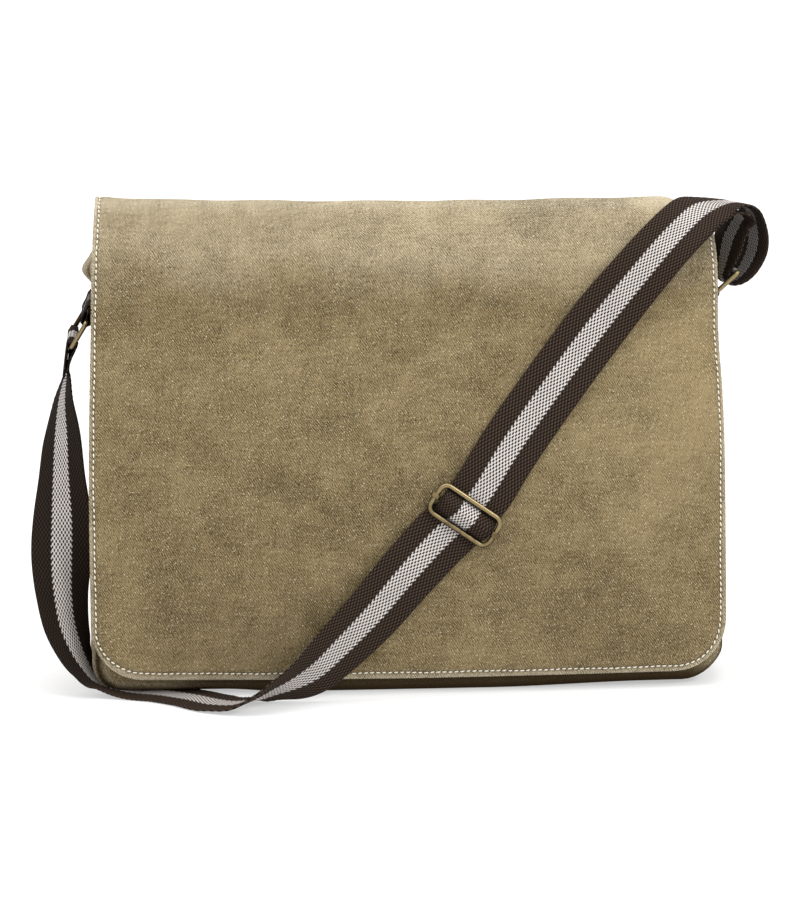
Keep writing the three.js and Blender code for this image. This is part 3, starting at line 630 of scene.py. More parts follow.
class FlapCloth:
    """The flap's outer face as a grid: rows from the back hem over the arch to the front hem."""

    def __init__(self, hem):
        back = np.linspace(FLAP_BACK_HEM, ARCH_FOOT, BACK_ROWS)[:-1]
        turns = np.linspace(0, math.pi, ARCH_ROWS)
        near = FLAP_BOTTOM + HEM_LINES[::-1]
        drop = ARCH_FOOT - near[0]
        front = np.linspace(ARCH_FOOT, near[0], round(drop / FLAP_STEP) + 1)[1:]
        self.rows = [("back", z) for z in back]
        self.rows += [("arch", turn) for turn in turns]
        self.rows += [("front", z) for z in np.concatenate([front, near[1:]])]
        heights = np.array([self.height(kind, value) for kind, value in self.rows])
        self.edges = np.stack([flap_half(heights, -1), flap_half(heights, 1)], -1)
        self.side_insets = SIDE_INSET + np.outer(1 - smoothstep(heights, *LOW_INSET_FADE), LOW_INSETS)
        self.across = edge_spaced(PANEL_HALF, HEM_LINES, FLAP_STEP)
        self.face = np.array([self.row(kind, value) for kind, value in self.rows])
        self.along = run_length(self.face[:, len(self.across) // 2])
        x = self.face[..., 0]
        side = np.maximum(self.sided(self.edges) - np.abs(x), 0)
        end = (self.along[-1] - self.along)[:, None] + 0 * x
        self.start = self.along[:, None] + 0 * x
        self.distance = round_distance(side, end, np.where(self.across < 0, *FLAP_CORNERS))
        beside = self.sided(self.side_insets)
        self.inset = beside + (end_inset(x) - beside) * smoothstep(side - end, *CORNER_BLEND)
        self.flat = np.stack([x, self.start], -1)
        normal = -grid_normals(self.face)
        self.face = self.face + normal * self.relief(hem)[..., None]
        self.normal = -grid_normals(self.face)

    def sided(self, pairs):
        """Left and right values of every row, spread over its points."""
        return np.where(self.across < 0, pairs[:, :1], pairs[:, 1:])

    @staticmethod
    def height(kind, value):
        """Height at which a row reads the table of the flap's edges."""
        if kind == "arch":
            return ARCH_FOOT + math.sin(value) ** (2 / ARCH_POWER) * (ARCH_TOP - ARCH_FOOT)
        return value

    def row(self, kind, value):
        """Points of one row of the smooth face."""
        across = self.across
        half = flap_half(self.height(kind, value), across)
        if kind == "front":
            corner = np.where(across < 0, *FLAP_CORNERS)
            below = np.maximum(0, FLAP_BOTTOM + corner - value)
            cut = corner - np.sqrt(np.maximum(0, corner ** 2 - below ** 2))
            x = across * (half - cut)
            slant = np.where(across < 0, *FLAP_SLANTS) * (1 - smoothstep(value, FLAP_BOTTOM, ARCH_FOOT))
            return np.stack([x, -flap_depth(x, value), value - slant * across], -1)
        x = across * half
        back_gap = FLAP_BACK_GAP + FLAP_THICK
        if kind == "back":
            depth = face_depth(x, value, half, BACK_BELLY) + back_gap
            return np.stack([x, depth, value + 0 * x], -1)
        level = math.sin(value) ** (2 / ARCH_POWER)
        reach = math.copysign(abs(math.cos(value)) ** (2 / ARCH_POWER), math.cos(value))
        back = face_depth(x, ARCH_FOOT, half, BACK_BELLY) + back_gap
        front = -flap_depth(x, ARCH_FOOT)
        y = (back + front) / 2 + reach * (back - front) / 2
        return np.stack([x, y, ARCH_FOOT + level * arch_height(x, across)], -1)

    def relief(self, hem):
        """Hem, dents and soft waves over the smooth face, in millimetres outward."""
        x, z = self.face[..., 0], self.face[..., 2]
        front = smoothstep(-self.face[..., 1], *FRONT_FROM)
        edge = sewn_edge(self.distance, self.inset, x + self.start, hem)
        waves = smoothstep(self.distance, *FLAP_CALM) * ripple(x, self.start, FLAP_WAVES) * FLAP_WAVE_SHARE
        return edge + waves + spots_on(x, z, FLAP_DENTS) * front

    def wear_and_light(self):
        """Paler cloth: the rubbed hem, and the roll and ridge over the top, faded and with painted light
        from above.
        """
        x, z = self.face[..., 0], self.face[..., 2]
        edge = HEM_WEAR["most"] - HEM_WEAR["less"] * smoothstep(z, *HEM_WEAR["from"])
        edge = edge * bell(self.distance / self.inset, 0, HEM_WEAR["reach"])
        uneven = z + ripple(x, self.start, WEAR_WAVES)
        roll = TOP_FADE_AND_LIGHT["roll"] * smoothstep(uneven, *TOP_FADE_AND_LIGHT["roll_from"])
        ridge = TOP_FADE_AND_LIGHT["ridge"] * smoothstep(z, *TOP_FADE_AND_LIGHT["ridge_from"])
        return np.clip(edge + (roll + ridge), 0, 1)

    def fade(self):
        """Broad pale and dark places on the front: washed patches, bands across the top and painted shadows
        beside the strap.
        """
        return spots_on(self.face[..., 0], self.face[..., 2], FLAP_FADES_AND_SHADOWS) * (self.face[..., 1] < 0)

    def at(self, x, along):
        """Points and normals of the face at flat places, between its grid points."""
        rows = np.interp(along, self.along, np.arange(len(self.along)))
        low = np.clip(rows.astype(int), 0, len(self.along) - 2)
        share = (rows - low)[:, None]

        def read(grid, row):
            return np.array([
                [np.interp(x[k], self.face[row[k], :, 0], grid[row[k], :, axis]) for axis in range(3)]
                for k in range(len(x))
            ])

        points, normals = (
            read(grid, low) * (1 - share) + read(grid, low + 1) * share for grid in (self.face, self.normal)
        )
        return points, unit(normals)


def build_flap(look, hem):
    """The flap's cloth with its hem, as one closed wall."""
    cloth = FlapCloth(hem)
    inner = cloth.face - cloth.normal * FLAP_THICK
    # Painted shade in the groove along the hem's stitches
    groove = HEM_SHADE["most"] * bell(cloth.distance, cloth.inset, HEM_SHADE["reach"])
    marks = {"wear_and_light": cloth.wear_and_light(), "fade": cloth.fade(), "shade_and_seams": groove}
    piece = make_wall("flap_cloth", "flap", cloth.face, inner, FLAP_LIP, look, cloth.flat, marks)
    return piece, cloth


def stitch_run(path, normals, pitch, length):
    """Thread stitches along a path: one small bowed bar for each pitch of its length."""
    run = run_length(path)
    count = int(run[-1] // pitch)
    starts = (np.arange(count) + 0.5) * run[-1] / count
    draws = np.random.default_rng(3)
    length = length * draws.uniform(*THREAD_LENGTHS, count)

    def read(values, where):
        return np.stack([np.interp(where, run, values[:, axis]) for axis in range(3)], -1)

    normal = unit(read(normals, starts))
    middle = read(path, starts) + THREAD_LIFT * normal
    ahead = unit(read(path, starts + 0.5) - read(path, starts - 0.5))
    ahead = unit(ahead + np.cross(normal, ahead) * draws.normal(*THREAD_SLANT, (count, 1)))
    side = np.cross(ahead, normal)
    sweep = np.linspace(-1, 1, STITCH_RINGS)
    girth = np.sqrt(np.clip(THREAD_BLUNT - sweep ** 2, 0, 1))
    lift = THREAD_BOW * THREAD_RADIUS * np.cos(sweep * math.pi / 2)
    angles = round_angles(STITCH_SIDES)[:, None]
    parts = []
    for k in range(count):
        ring = np.cos(angles) * side[k] + THREAD_FLATNESS * np.sin(angles) * normal[k]
        sections = []
        for r in range(STITCH_RINGS):
            centre = middle[k] + ahead[k] * sweep[r] * length[k] / 2 + normal[k] * lift[r]
            sections.append(centre + girth[r] * THREAD_RADIUS * ring)
        parts.append(tube(np.array(sections), False))
    return joined(parts)


def build_stitches(cloth, look, pitch, length):
    """Stitches along the sides and bottom of the flap, and its seam on the back panel."""
    turn = np.linspace(0, math.pi / 2, 24)
    sides = []
    for k, corner in enumerate(FLAP_CORNERS):
        start = cloth.along[-1] - corner
        down = np.arange(STITCH_START, start, 1.5)
        edge = np.interp(down, cloth.along, cloth.edges[:, k] - cloth.side_insets[:, k])
        reach = corner - cloth.side_insets[-1, k]
        last = cloth.along[-1] - end_inset((-1, 1)[k] * (edge[-1] - reach))
        x = np.concatenate([edge, edge[-1] - reach * (1 - np.cos(turn))])
        sides.append((x, np.concatenate([down, start + (last - start) * np.sin(turn)])))
    (left_x, left_along), (right_x, right_along) = sides
    bottom_x = np.linspace(-left_x[-1], right_x[-1], 240)[1:-1]
    x = np.concatenate([-left_x, bottom_x, right_x[::-1]])
    along = np.concatenate([left_along, cloth.along[-1] - end_inset(bottom_x), right_along[::-1]])
    along = along + wobble(x, STITCH_WOBBLE["hem"])
    x = x + wobble(along, STITCH_WOBBLE["side"])
    parts = [stitch_run(*cloth.at(x, along), pitch, length)]
    seam_x = np.linspace(BACK_SEAM["left"], BACK_SEAM["right"], 260)
    for level in BACK_SEAM["levels"]:
        parts.append(stitch_run(*cloth.at(seam_x, 0 * seam_x + level), pitch, length))
    points, faces = joined(parts)
    return make_piece("flap_stitches", points, faces, look)


def base_shade(x, forward, z):
    """Painted shade along the base, most of all under the front hem and at the floor."""
    shade_and_seams = BASE_SHADE
    low = 1 - smoothstep(z, shade_and_seams["low"], shade_and_seams["high"] - shade_and_seams["right_less"] * smoothstep(x, *shade_and_seams["right"]))
    front = smoothstep(forward, *shade_and_seams["front"])
    under_hem = front * (shade_and_seams["front_tone"] * smoothstep(x, *shade_and_seams["left"]) - shade_and_seams["left_less"])
    # Darkest at the floor: painted shade in the gap under the base
    floor = shade_and_seams["floor_tone"] * (1 - smoothstep(z, *shade_and_seams["floor"]))
    return np.clip(low * (shade_and_seams["tone"] + under_hem) + floor, 0, 1)


def turned_in(edge, height, reach):
    """How far cloth is turned in near its seam."""
    return height * np.exp(-np.maximum(edge, 0) / reach)


def seam_line(edge, width):
    """Dark line along the seam between two pieces of cloth."""
    return SEAM_DARK * bell(np.maximum(edge, 0), 0, width)


def settled(x, z):
    """Heights of the body as it stands: its seam pressed down, the right end of the base off the floor."""
    depth = SEAM_PRESS["depth"] + SEAM_PRESS["more"] * smoothstep(x, *SEAM_PRESS["from"])
    lift = RIGHT_LIFT["height"] * smoothstep(x, *RIGHT_LIFT["from"])
    pressed = depth * between(z, SEAM_PRESS["rise"], SEAM_PRESS["fall"])
    return z - pressed + lift * (1 - smoothstep(z, *RIGHT_LIFT["fall"]))


def corner_shift(x, z):
    """Sideways shift of the lower right corner of the body, which is wider and rounder than the left."""
    low = np.clip((z - PANEL_BOTTOM) / RIGHT_CORNER["height"], 0, 1)
    shift = RIGHT_CORNER["wide"] - RIGHT_CORNER["cut"] * (1 - low) ** RIGHT_CORNER["power"]
    return shift * smoothstep(x, *RIGHT_CORNER["from"]) * (1 - smoothstep(z, *RIGHT_CORNER["fall"]))


def build_panel(name, node, direction, belly, look):
    """Front or back wall of the body, turned in along its seam."""
    near = PANEL_BOTTOM + BASE_LINES
    heights = np.concatenate([near, np.linspace(near[-1], PANEL_TOP, PANEL_ROWS)[1:]])
    across = edge_spaced(PANEL_HALF, SEAM_LINES, PANEL_STEP)
    z = heights[:, None] + 0 * across
    half = body_half(heights)[:, None]
    x = across * half
    edge = round_distance(straight_half(z) - np.abs(x), z - PANEL_BOTTOM, PANEL_CORNER)
    waves = smoothstep(edge, *PANEL_CALM) * ripple(x, z, PANEL_WAVES)
    free = 1.0 if direction > 0 else smoothstep(FREE_BELOW - z, 0, FREE_BELOW)
    depth = face_depth(x, z, half, belly) - turned_in(edge, *PANEL_TURN_IN)
    depth = depth + waves * free * PANEL_WAVE_SHARE
    level = settled(x, z)
    wide = x + corner_shift(x, z)
    outer = np.stack([wide, direction * depth, level], -1)
    inner = np.stack([wide * 0.9995, direction * (depth - CANVAS_THICK), level], -1)
    seam = seam_line(edge, SEAM_WIDTHS["panel"] + SEAM_WIDTHS["left_more"] * (x < SEAM_WIDTHS["left_end"]))
    marks = {
        "wear_and_light": PANEL_WEAR["most"] * bell(edge, *PANEL_WEAR["edge"]),
        "shade_and_seams": np.maximum(base_shade(x, -direction * depth, z), seam),
    }
    make_wall(name, node, outer, inner, PANEL_LIP, look, np.stack([x, z], -1), marks)


def gusset_outline():
    """Outline of the gusset from the front: x, z and outward direction, left side, base, right side."""
    corner_top = PANEL_BOTTOM + PANEL_CORNER
    heights = np.concatenate([np.linspace(GUSSET_TOP, 240, 18), np.linspace(240, corner_top + 4, 62)[1:]])
    side = np.stack([-body_half(heights), heights, -1 + 0 * heights, 0 * heights], -1)
    turns = np.radians(np.linspace(180, 270, 15))
    middle = -float(body_half(corner_top)) + PANEL_CORNER
    corner = np.stack([
        middle + PANEL_CORNER * np.cos(turns), corner_top + PANEL_CORNER * np.sin(turns),
        np.cos(turns), np.sin(turns),
    ], -1)
    left = np.concatenate([side, corner])
    base_x = np.linspace(left[-1, 0], -left[-1, 0], 72)[1:-1]
    base = np.stack([base_x, 0 * base_x + PANEL_BOTTOM, 0 * base_x, 0 * base_x - 1], -1)
    right = left[::-1] * np.array([-1, 1, -1, 1])
    return np.concatenate([left, base, right])


def build_gusset(look):
    """Side and base strip of the body: flat below, bulging at the sides, folded out near the top."""
    spots = gusset_outline()
    x, z, out_x, out_z = (spots[:, k][:, None] for k in range(4))
    left = x < 0
    even = np.linspace(-1, 1, GUSSET_COLUMNS)
    across = 0.35 * even + 0.65 * np.sin(even * math.pi / 2)
    aside = np.abs(across)
    reach = column(BODY_SECTIONS, "seam", z) - CANVAS_THICK - SEAM_GAP
    right_share = 1 + (RIGHT_BULGE["share"] - 1) * smoothstep(z, *RIGHT_BULGE["from"])
    bulge = column(BODY_SECTIONS, "bulge", z) * np.where(x > 0, right_share, 1)
    bulge = bulge - LEFT_HOLLOW["depth"] * left * between(z, LEFT_HOLLOW["rise"], LEFT_HOLLOW["fall"])
    bulge = np.where(out_z < -0.99, PANEL_BOTTOM, bulge)
    low_power, ear_power = GUSSET_POWERS
    power = low_power + (ear_power - low_power) * smoothstep(z, *GUSSET_POWER_FROM)
    flat_base = np.minimum(1, (1 - aside ** BASE_POWER) / (1 - FLAT_SHARE ** BASE_POWER))
    swell = bulge * ((1 - aside ** power) * (1 - out_z ** 2) + flat_base * out_z ** 2)
    y = reach * across
    lift = -out_z * STRAP_HOLLOW["depth"] * bell(x, *STRAP_HOLLOW["x"]) * bell(y, *STRAP_HOLLOW["y"])
    run = run_length(spots[:, :2])[:, None] + 0 * y
    side = smoothstep(z, *GUSSET_SIDE["from"]) * (1 - smoothstep(aside, *GUSSET_SIDE["calm"]))
    waves = side * ripple(y, run, GUSSET_WAVES) - GUSSET_SIDE["sunk"] * side
    edge = reach * (1 - aside)
    low_left = left * between(z, SEAM_ROLL["rise"], SEAM_ROLL["fall"])
    roll = SEAM_ROLL["height"] * low_left * bell(edge, *SEAM_ROLL["edge"]) * (y < 0)
    crease = left * (y < 0) * bell(aside, *EAR_CREASE["aside"]) * bell(z, *EAR_CREASE["z"])
    ear = EAR["height"] * left * bell(z, *EAR["z"]) * bell(aside, *EAR["aside"])
    amount = swell - lift + waves + roll + ear - EAR_CREASE["depth"] * crease
    amount = amount - turned_in(edge, *GUSSET_TURN_IN) * (1 - out_z ** 2)
    raised = settled(x, z + out_z * amount) - z - out_z * amount
    wide = x + corner_shift(x, z)
    outer, inner = (
        np.stack([wide + out_x * out, y, z + out_z * out + raised], -1)
        for out in (amount, amount - CANVAS_THICK)
    )
    wear_and_light = (GUSSET_WEAR["seam"] + GUSSET_WEAR["roll"] * low_left) * bell(edge, *SEAM_ROLL["worn"])
    wear_and_light = wear_and_light + GUSSET_WEAR["ear"] * smoothstep(z, *GUSSET_WEAR["ear_from"]) * (1 - aside)
    # Painted shade on the base, lifted off the seam roll on the left, then dark seam lines and painted
    # shade in the ear's crease
    shade_and_seams = base_shade(x, -y, z + 0 * y) * (1 - GUSSET_WEAR["roll_less_shade"] * low_left)
    shade_and_seams = np.maximum(np.maximum(shade_and_seams, seam_line(edge, SEAM_WIDTHS["gusset"])), crease)
    marks = {"wear_and_light": np.clip(wear_and_light, 0, 1), "shade_and_seams": shade_and_seams}
    make_wall("gusset_cloth", "gusset", outer, inner, GUSSET_LIP, look, np.stack([y, run], -1), marks)


# Webbing

def smooth_run(points, where, centripetal):
    """Catmull-Rom curve through points, read at places counted in points."""
    points = np.asarray(points, float)
    ghost = np.concatenate([[2 * points[0] - points[1]], points, [2 * points[-1] - points[-2]]])
    base = np.clip(where.astype(int), 0, len(points) - 2)
    share = (where - base)[:, None]
    p0, p1, p2, p3 = (ghost[base + k] for k in range(4))
    if centripetal:
        d0, d1, d2 = (
            np.maximum(np.linalg.norm(end - start, axis=1, keepdims=True), 1e-6) ** 0.5
            for start, end in ((p0, p1), (p1, p2), (p2, p3))
        )
        leave = ((p1 - p0) / d0 - (p2 - p0) / (d0 + d1) + (p2 - p1) / d1) * d1
        arrive = ((p2 - p1) / d1 - (p3 - p1) / (d1 + d2) + (p3 - p2) / d2) * d1
    else:
        leave, arrive = (p2 - p0) / 2, (p3 - p1) / 2
    return eased(share, p1, p2 - p1, leave, arrive)


class Webbing:
    """A flat woven band along rows of a middle, a direction across and a width share."""

    def __init__(self, rows, width, pitch):
        middles, directions, shares = zip(*rows)
        fine = np.linspace(0, len(rows) - 1, (len(rows) - 1) * WEBBING_STEPS + 1)
        run = run_length(smooth_run(middles, fine, True))
        count = round(run[-1] / (pitch / 2))
        self.run = np.linspace(0, run[-1], count + 1)
        where = np.interp(self.run, run, fine)
        self.middle = smooth_run(middles, where, True)
        across = smooth_run(directions, where, False)
        ahead = unit(np.gradient(self.middle, axis=0))
        self.across = unit(across - ahead * np.sum(across * ahead, -1, keepdims=True))
        self.face = np.cross(self.across, ahead)
        self.half = width / 2 * np.interp(where, np.arange(len(rows)), shares)
        self.width = width

    def mesh(self, cell, thick, relief):
        """Points, faces and flat places of the woven band, with raised and sunk cells."""
        columns = 2 * round(self.width / cell)
        across = np.linspace(-1, 1, columns + 1)
        aside = np.abs(across)
        sign = (-1.0) ** (np.arange(len(self.run))[:, None] + np.arange(columns + 1)[None])
        half_thick = thick / 2 * (1 - WEBBING_EDGE["thinner"] * smoothstep(aside, *WEBBING_EDGE["from"]))
        weave = relief * sign * smoothstep(1 - aside, *WEBBING_EDGE["smooth"])
        place = self.middle[:, None] + (self.half[:, None] * across)[..., None] * self.across[:, None]
        upper = place - (half_thick - weave)[..., None] * self.face[:, None]
        lower = place - (-half_thick - weave)[..., None] * self.face[:, None]
        points, faces = tube(np.concatenate([upper, lower[:, ::-1]], axis=1), False)
        flat = np.stack(np.broadcast_arrays(across[None] * self.width / 2, self.run[:, None]), -1)
        flat = np.concatenate([flat, flat[:, ::-1]], axis=1).reshape(-1, 2)
        return points, faces, flat


def bend_rows(bar, side, up, axis, radius, start, end, share=1.0):
    """Rows of webbing bent round a bar, from one angle to another."""
    steps = math.ceil(abs(end - start) / BEND_STEP)
    rows = []
    for angle in np.radians(np.linspace(start, end, steps + 1)):
        rows.append((bar + side * radius * math.cos(angle) + up * radius * math.sin(angle), axis, share))
    return rows


def turn_about(axis, degrees):
    """Rotation matrix about X or Y."""
    turn = math.radians(degrees)
    cosine, sine = math.cos(turn), math.sin(turn)
    if axis == "x":
        return np.array([[1, 0, 0], [0, cosine, -sine], [0, sine, cosine]])
    return np.array([[cosine, 0, sine], [0, 1, 0], [-sine, 0, cosine]])


def ring_place(ring):
    """Rotation of a ring and the middle of its inner bar."""
    turn = turn_about("x", ring["roll"]) @ turn_about("y", ring["tilt"])
    return turn, np.array([ring["x"], 0, ring["z"]])


def ring_bar(ring, drop):
    """Middle of a ring's bar, the two directions across it and its axis."""
    turn, place = ring_place(ring)
    roll = turn_about("x", ring["roll"])
    return turn @ np.array([0, 0, -drop]) + place, np.array([1.0, 0, 0]), roll[:, 2], roll[:, 1]


def sewn_row(x, z):
    """Row of a tab that lies flat against the side of the bag."""
    return np.array([x, 0, z]), ACROSS, 1.0


def left_tab_rows():
    """Left tab: sewn to the gusset, folded over outward and hanging round the ring's upper bar."""
    middle, side, up, axis = ring_bar(LEFT_RING, 0)
    bulge = float(column(BODY_SECTIONS, "bulge", TAB_LOW))
    first = -(float(body_half(TAB_LOW)) + bulge + SEAM_GAP + STRAP_THICK / 2)
    fold = np.array([first - 1.5 * STRAP_LAYER, 0, LEFT_FOLD])
    return [
        sewn_row(first, TAB_LOW),
        sewn_row(first, (TAB_LOW + LEFT_FOLD) / 2),
        *bend_rows(fold, side, up, axis, 1.5 * STRAP_LAYER, 0, 180),
        *bend_rows(middle, side, up, axis, RING_BEND + 0.4, 180, 360),
        *bend_rows(fold, side, up, axis, 0.5 * STRAP_LAYER, 180, 0),
        sewn_row(first - STRAP_LAYER, (TAB_LOW + LEFT_FOLD) / 2),
        sewn_row(first - STRAP_LAYER, TAB_LOW),
    ]


def right_tab_rows():
    """Right tab: sewn to the gusset below the ring and pulled up round the ring's inner bar."""
    middle, side, up, axis = ring_bar(RIGHT_RING, 0)
    first = RIGHT_RING["x"] - RING_BEND
    return [
        sewn_row(first, TAB_LOW),
        sewn_row(first, RIGHT_JOIN),
        *bend_rows(middle, side, up, axis, RING_BEND, 180, 0),
        sewn_row(first + STRAP_LAYER, RIGHT_JOIN),
        sewn_row(first + STRAP_LAYER, TAB_LOW),
    ]


def flap_axes(x, z):
    """Directions along, across and out of a strap that lies on the flap, and the place on the flap."""
    lean = math.radians(STRAP_LEAN)
    reach = STRAP_WIDTH / 2

    def on_flap(right, up):
        return np.array([x + right, -float(flap_depth(x + right, z + up)), z + up])

    def toward(right, up):
        return unit(on_flap(right, up) - on_flap(-right, -up))

    along = toward(reach * math.cos(lean), reach * math.sin(lean))
    across = toward(-reach * math.sin(lean), reach * math.cos(lean))
    across = unit(across - along * np.dot(across, along))
    return along, across, np.cross(along, across), on_flap(0, 0)


def slider_axes():
    """Directions of the slider and its middle, which lies over the strap."""
    along, across, out, face = flap_axes(SLIDER_PLACE["x"], SLIDER_PLACE["z"])
    return along, across, out, face + out * SLIDER_PLACE["clear"]


def strap_rows():
    """Rows of the whole strap, from its sewn end at the left ring to its end on the slider's bar."""
    bar, side, up, axis = ring_bar(LEFT_RING, RING_DROP)
    top = HANGING_ROWS[0]

    def tail(z, x):
        return np.array([x, top[1] * (bar[2] - z) / (bar[2] - top[2]), z]), axis, 1.0

    start = [
        tail(top[2], top[0] - STRAP_LAYER),
        tail(TAIL_JOIN, top[0] - 0.5 * STRAP_LAYER),
        *bend_rows(bar, side, up, axis, RING_BEND, 180, 0),
        tail(TAIL_JOIN, top[0] + 0.6 * STRAP_LAYER),
    ]
    along, across, out, middle = slider_axes()

    def slider_row(distance, rise, shift=0.0, share=SLIDER_SQUEEZE):
        return middle + along * distance + out * rise + across * shift, across, share

    def plain(row):
        return np.array(row[:3], float), np.array(row[3:], float), 1.0

    weave = [slider_row(*row) for row in WEAVE_ROWS]
    weave[0] = slider_row(*WEAVE_ROWS[0], 1.0)
    weave[-1] = slider_row(*WEAVE_ROWS[-1], 1.0)
    crossing = []
    for x, z, clear in CROSSING_ROWS:
        _, flap_across, flap_out, place = flap_axes(x, z)
        crossing.append((place + flap_out * clear, flap_across, 1.0))
    corner = [(*plain(row[:6])[:2], row[6]) for row in CORNER_ROWS]
    loop = []
    for x, y, z, yaw in LOOP_ROWS:
        turn = math.radians(yaw)
        loop.append((np.array([x, y, z], float), np.array([-math.sin(turn), math.cos(turn), 0]), 1.0))
    layer = [weave[-1], *crossing, *corner]
    under = []
    for k, row in enumerate(layer):
        ahead = unit(layer[min(k + 1, len(layer) - 1)][0] - layer[max(k - 1, 0)][0])
        under.append((row[0] + unit(np.cross(row[1], ahead)) * STRAP_LAYER, row[1], row[2]))
    wrap_radius = SLIDER_BAR + SLIDE_GAP + STRAP_THICK / 2
    wrap = bend_rows(middle, along, out, across, wrap_radius, *BAR_TURN, SLIDER_SQUEEZE)
    back = [*under[::-1], *(slider_row(*row) for row in RETURN_ROWS), *wrap]
    return [*start, *(plain(row) for row in HANGING_ROWS), *weave, *crossing, *corner, *loop, *back]


def turned_slider_axes():
    """Directions of the slider's brass, turned a little against the strap."""
    along, across, out, middle = slider_axes()
    turn = math.radians(SLIDER_TURN)
    turned_along = along * math.cos(turn) + across * math.sin(turn)
    turned_across = across * math.cos(turn) - along * math.sin(turn)
    return turned_along, turned_across, out, middle + across * SLIDER_SHIFT


def slider_shade(points):
    """Painted shade on the webbing where the strap dives under the slider's wire and along its edges inside
    it.
    """
    along, across, _, middle = turned_slider_axes()
    local = points - middle
    wire = SLIDER_WIRE * (1 + SLIDER_SPREAD)
    ends = (SLIDER_SHORT / 2 - wire - np.abs(local @ along)) / SLIDER_SHADE["ends"]
    sides = (SLIDER_LONG / 2 - wire - np.abs(local @ across)) / SLIDER_SHADE["sides"]
    return SLIDER_SHADE["most"] * np.exp(-np.minimum(ends, sides) ** 2)


def hanging_shade(points):
    """Shade on the webbing that hangs beside the bag."""
    return HANGING_SHADE["most"] * (1 - smoothstep(points[:, 0], *HANGING_SHADE["from"]))


# Brass wire

def wire_rectangle(long, short, corner, radius, widen):
    """Wire bent into a rectangle, long side along Y, short side down from Z 0, widened in its plane.

    Gives points and faces, with the angle round the wire and the share of the way down of each point.
    """
    corner_steps, straight_steps = 10, 6
    corners = (
        (long / 2 - corner, -corner, 0), (corner - long / 2, -corner, 90),
        (corner - long / 2, corner - short, 180), (long / 2 - corner, corner - short, 270),
    )
    spots = []
    for k, (y, z, start) in enumerate(corners):
        for turn in np.radians(np.linspace(start, start + 90, corner_steps)):
            spots.append((y + corner * math.cos(turn), z + corner * math.sin(turn), turn))
        after_y, after_z, after = corners[(k + 1) % 4]
        turn = math.radians(after)
        end = (after_y + corner * math.cos(turn), after_z + corner * math.sin(turn))
        begin = spots[-1]
        for share in np.linspace(0, 1, straight_steps + 1)[1:-1]:
            spots.append((
                begin[0] + (end[0] - begin[0]) * share, begin[1] + (end[1] - begin[1]) * share, begin[2],
            ))
    y, z, turns = (np.array(values)[:, None] for values in zip(*spots))
    angles = round_angles(WIRE_SIDES) + 0 * y
    reach = radius * widen * np.cos(angles)
    sections = np.stack([radius * np.sin(angles), y + reach * np.cos(turns), z + reach * np.sin(turns)], -1)
    points, faces = tube(sections, True)
    return points, faces, angles.ravel(), (-z / short + 0 * angles).ravel()


def ring_mesh(ring):
    """Points, faces and rubbed share of one wire ring in its place: rubbing and painted reflection, bright
    on its outer side and dark on its inner side.
    """
    points, faces, angles, _ = wire_rectangle(
        RING_INNER + 2 * RING_WIRE, RING_DROP, RING_CORNER, RING_WIRE, 1.0,
    )
    turn, place = ring_place(ring)
    return points @ turn.T + place, faces, np.cos(angles)


def slider_frame_mesh():
    """Points, faces and rubbed share of the slider's wire frame in its place: painted reflection, bright on
    its faces and dark along its edges, brighter towards one long bar.
    """
    along, across, out, middle = turned_slider_axes()
    short = SLIDER_SHORT - 2 * SLIDER_WIRE
    points, faces, angles, down = wire_rectangle(
        SLIDER_LONG - 2 * SLIDER_WIRE, short, SLIDER_CORNER, SLIDER_WIRE, SLIDER_SPREAD,
    )
    placed = (points + np.array([0, 0, short / 2])) @ np.stack([out, across, -along]) + middle
    high, lower = BRASS_RUB_AND_REFLECTION["frame"]
    return placed, faces, np.abs(np.sin(angles)) * (high + lower * down)


def slider_bar_mesh():
    """The slider's rod with an open collar clenched round each short side of the frame."""
    along, across, out, middle = turned_slider_axes()
    reach = SLIDER_LONG / 2 - SLIDER_WIRE
    hole = SLIDER_WIRE * SLIDER_SPREAD + SLIDE_GAP
    angles = round_angles(WIRE_SIDES)
    ring = np.cos(angles)[:, None] * along + np.sin(angles)[:, None] * out
    rod_reach = reach - (hole + COLLAR_RADIUS) / 2
    stops = np.linspace(-rod_reach, rod_reach, ROD_RINGS)
    parts = [tube(np.array([middle + across * stop + SLIDER_BAR * ring for stop in stops]), False)]
    inward, upward = COLLAR_BEVEL
    profile = (
        (hole, -0.5), (hole, 0.5), (COLLAR_RADIUS - inward, 0.5), (COLLAR_RADIUS, upward),
        (COLLAR_RADIUS, -upward), (COLLAR_RADIUS - inward, -0.5),
    )
    for side in (-1, 1):
        centre = middle + across * side * reach
        sections = []
        for turn in np.radians(np.linspace(*COLLAR_OPENING, COLLAR_RINGS)) + (0 if side > 0 else math.pi):
            away = math.cos(turn) * across + math.sin(turn) * out
            sections.append([
                centre + radius * away + level * COLLAR_LENGTH * along for radius, level in profile
            ])
        parts.append(tube(np.array(sections), False))
    points, faces = joined(parts)
    return points, faces, np.full(len(points), BRASS_RUB_AND_REFLECTION["bar"])


# Looks

class Value:
    """A shader socket that Python's operators turn into Math nodes."""

    def __init__(self, look, socket):
        self.look = look
        self.socket = socket

    def __add__(self, other):
        return self.look.math("ADD", self, other)

    def __sub__(self, other):
        return self.look.math("SUBTRACT", self, other)

    def __rsub__(self, other):
        return self.look.math("SUBTRACT", other, self)

    def __mul__(self, other):
        return self.look.math("MULTIPLY", self, other)

    def __abs__(self):
        return self.look.math("ABSOLUTE", self)

    __radd__ = __add__
    __rmul__ = __mul__


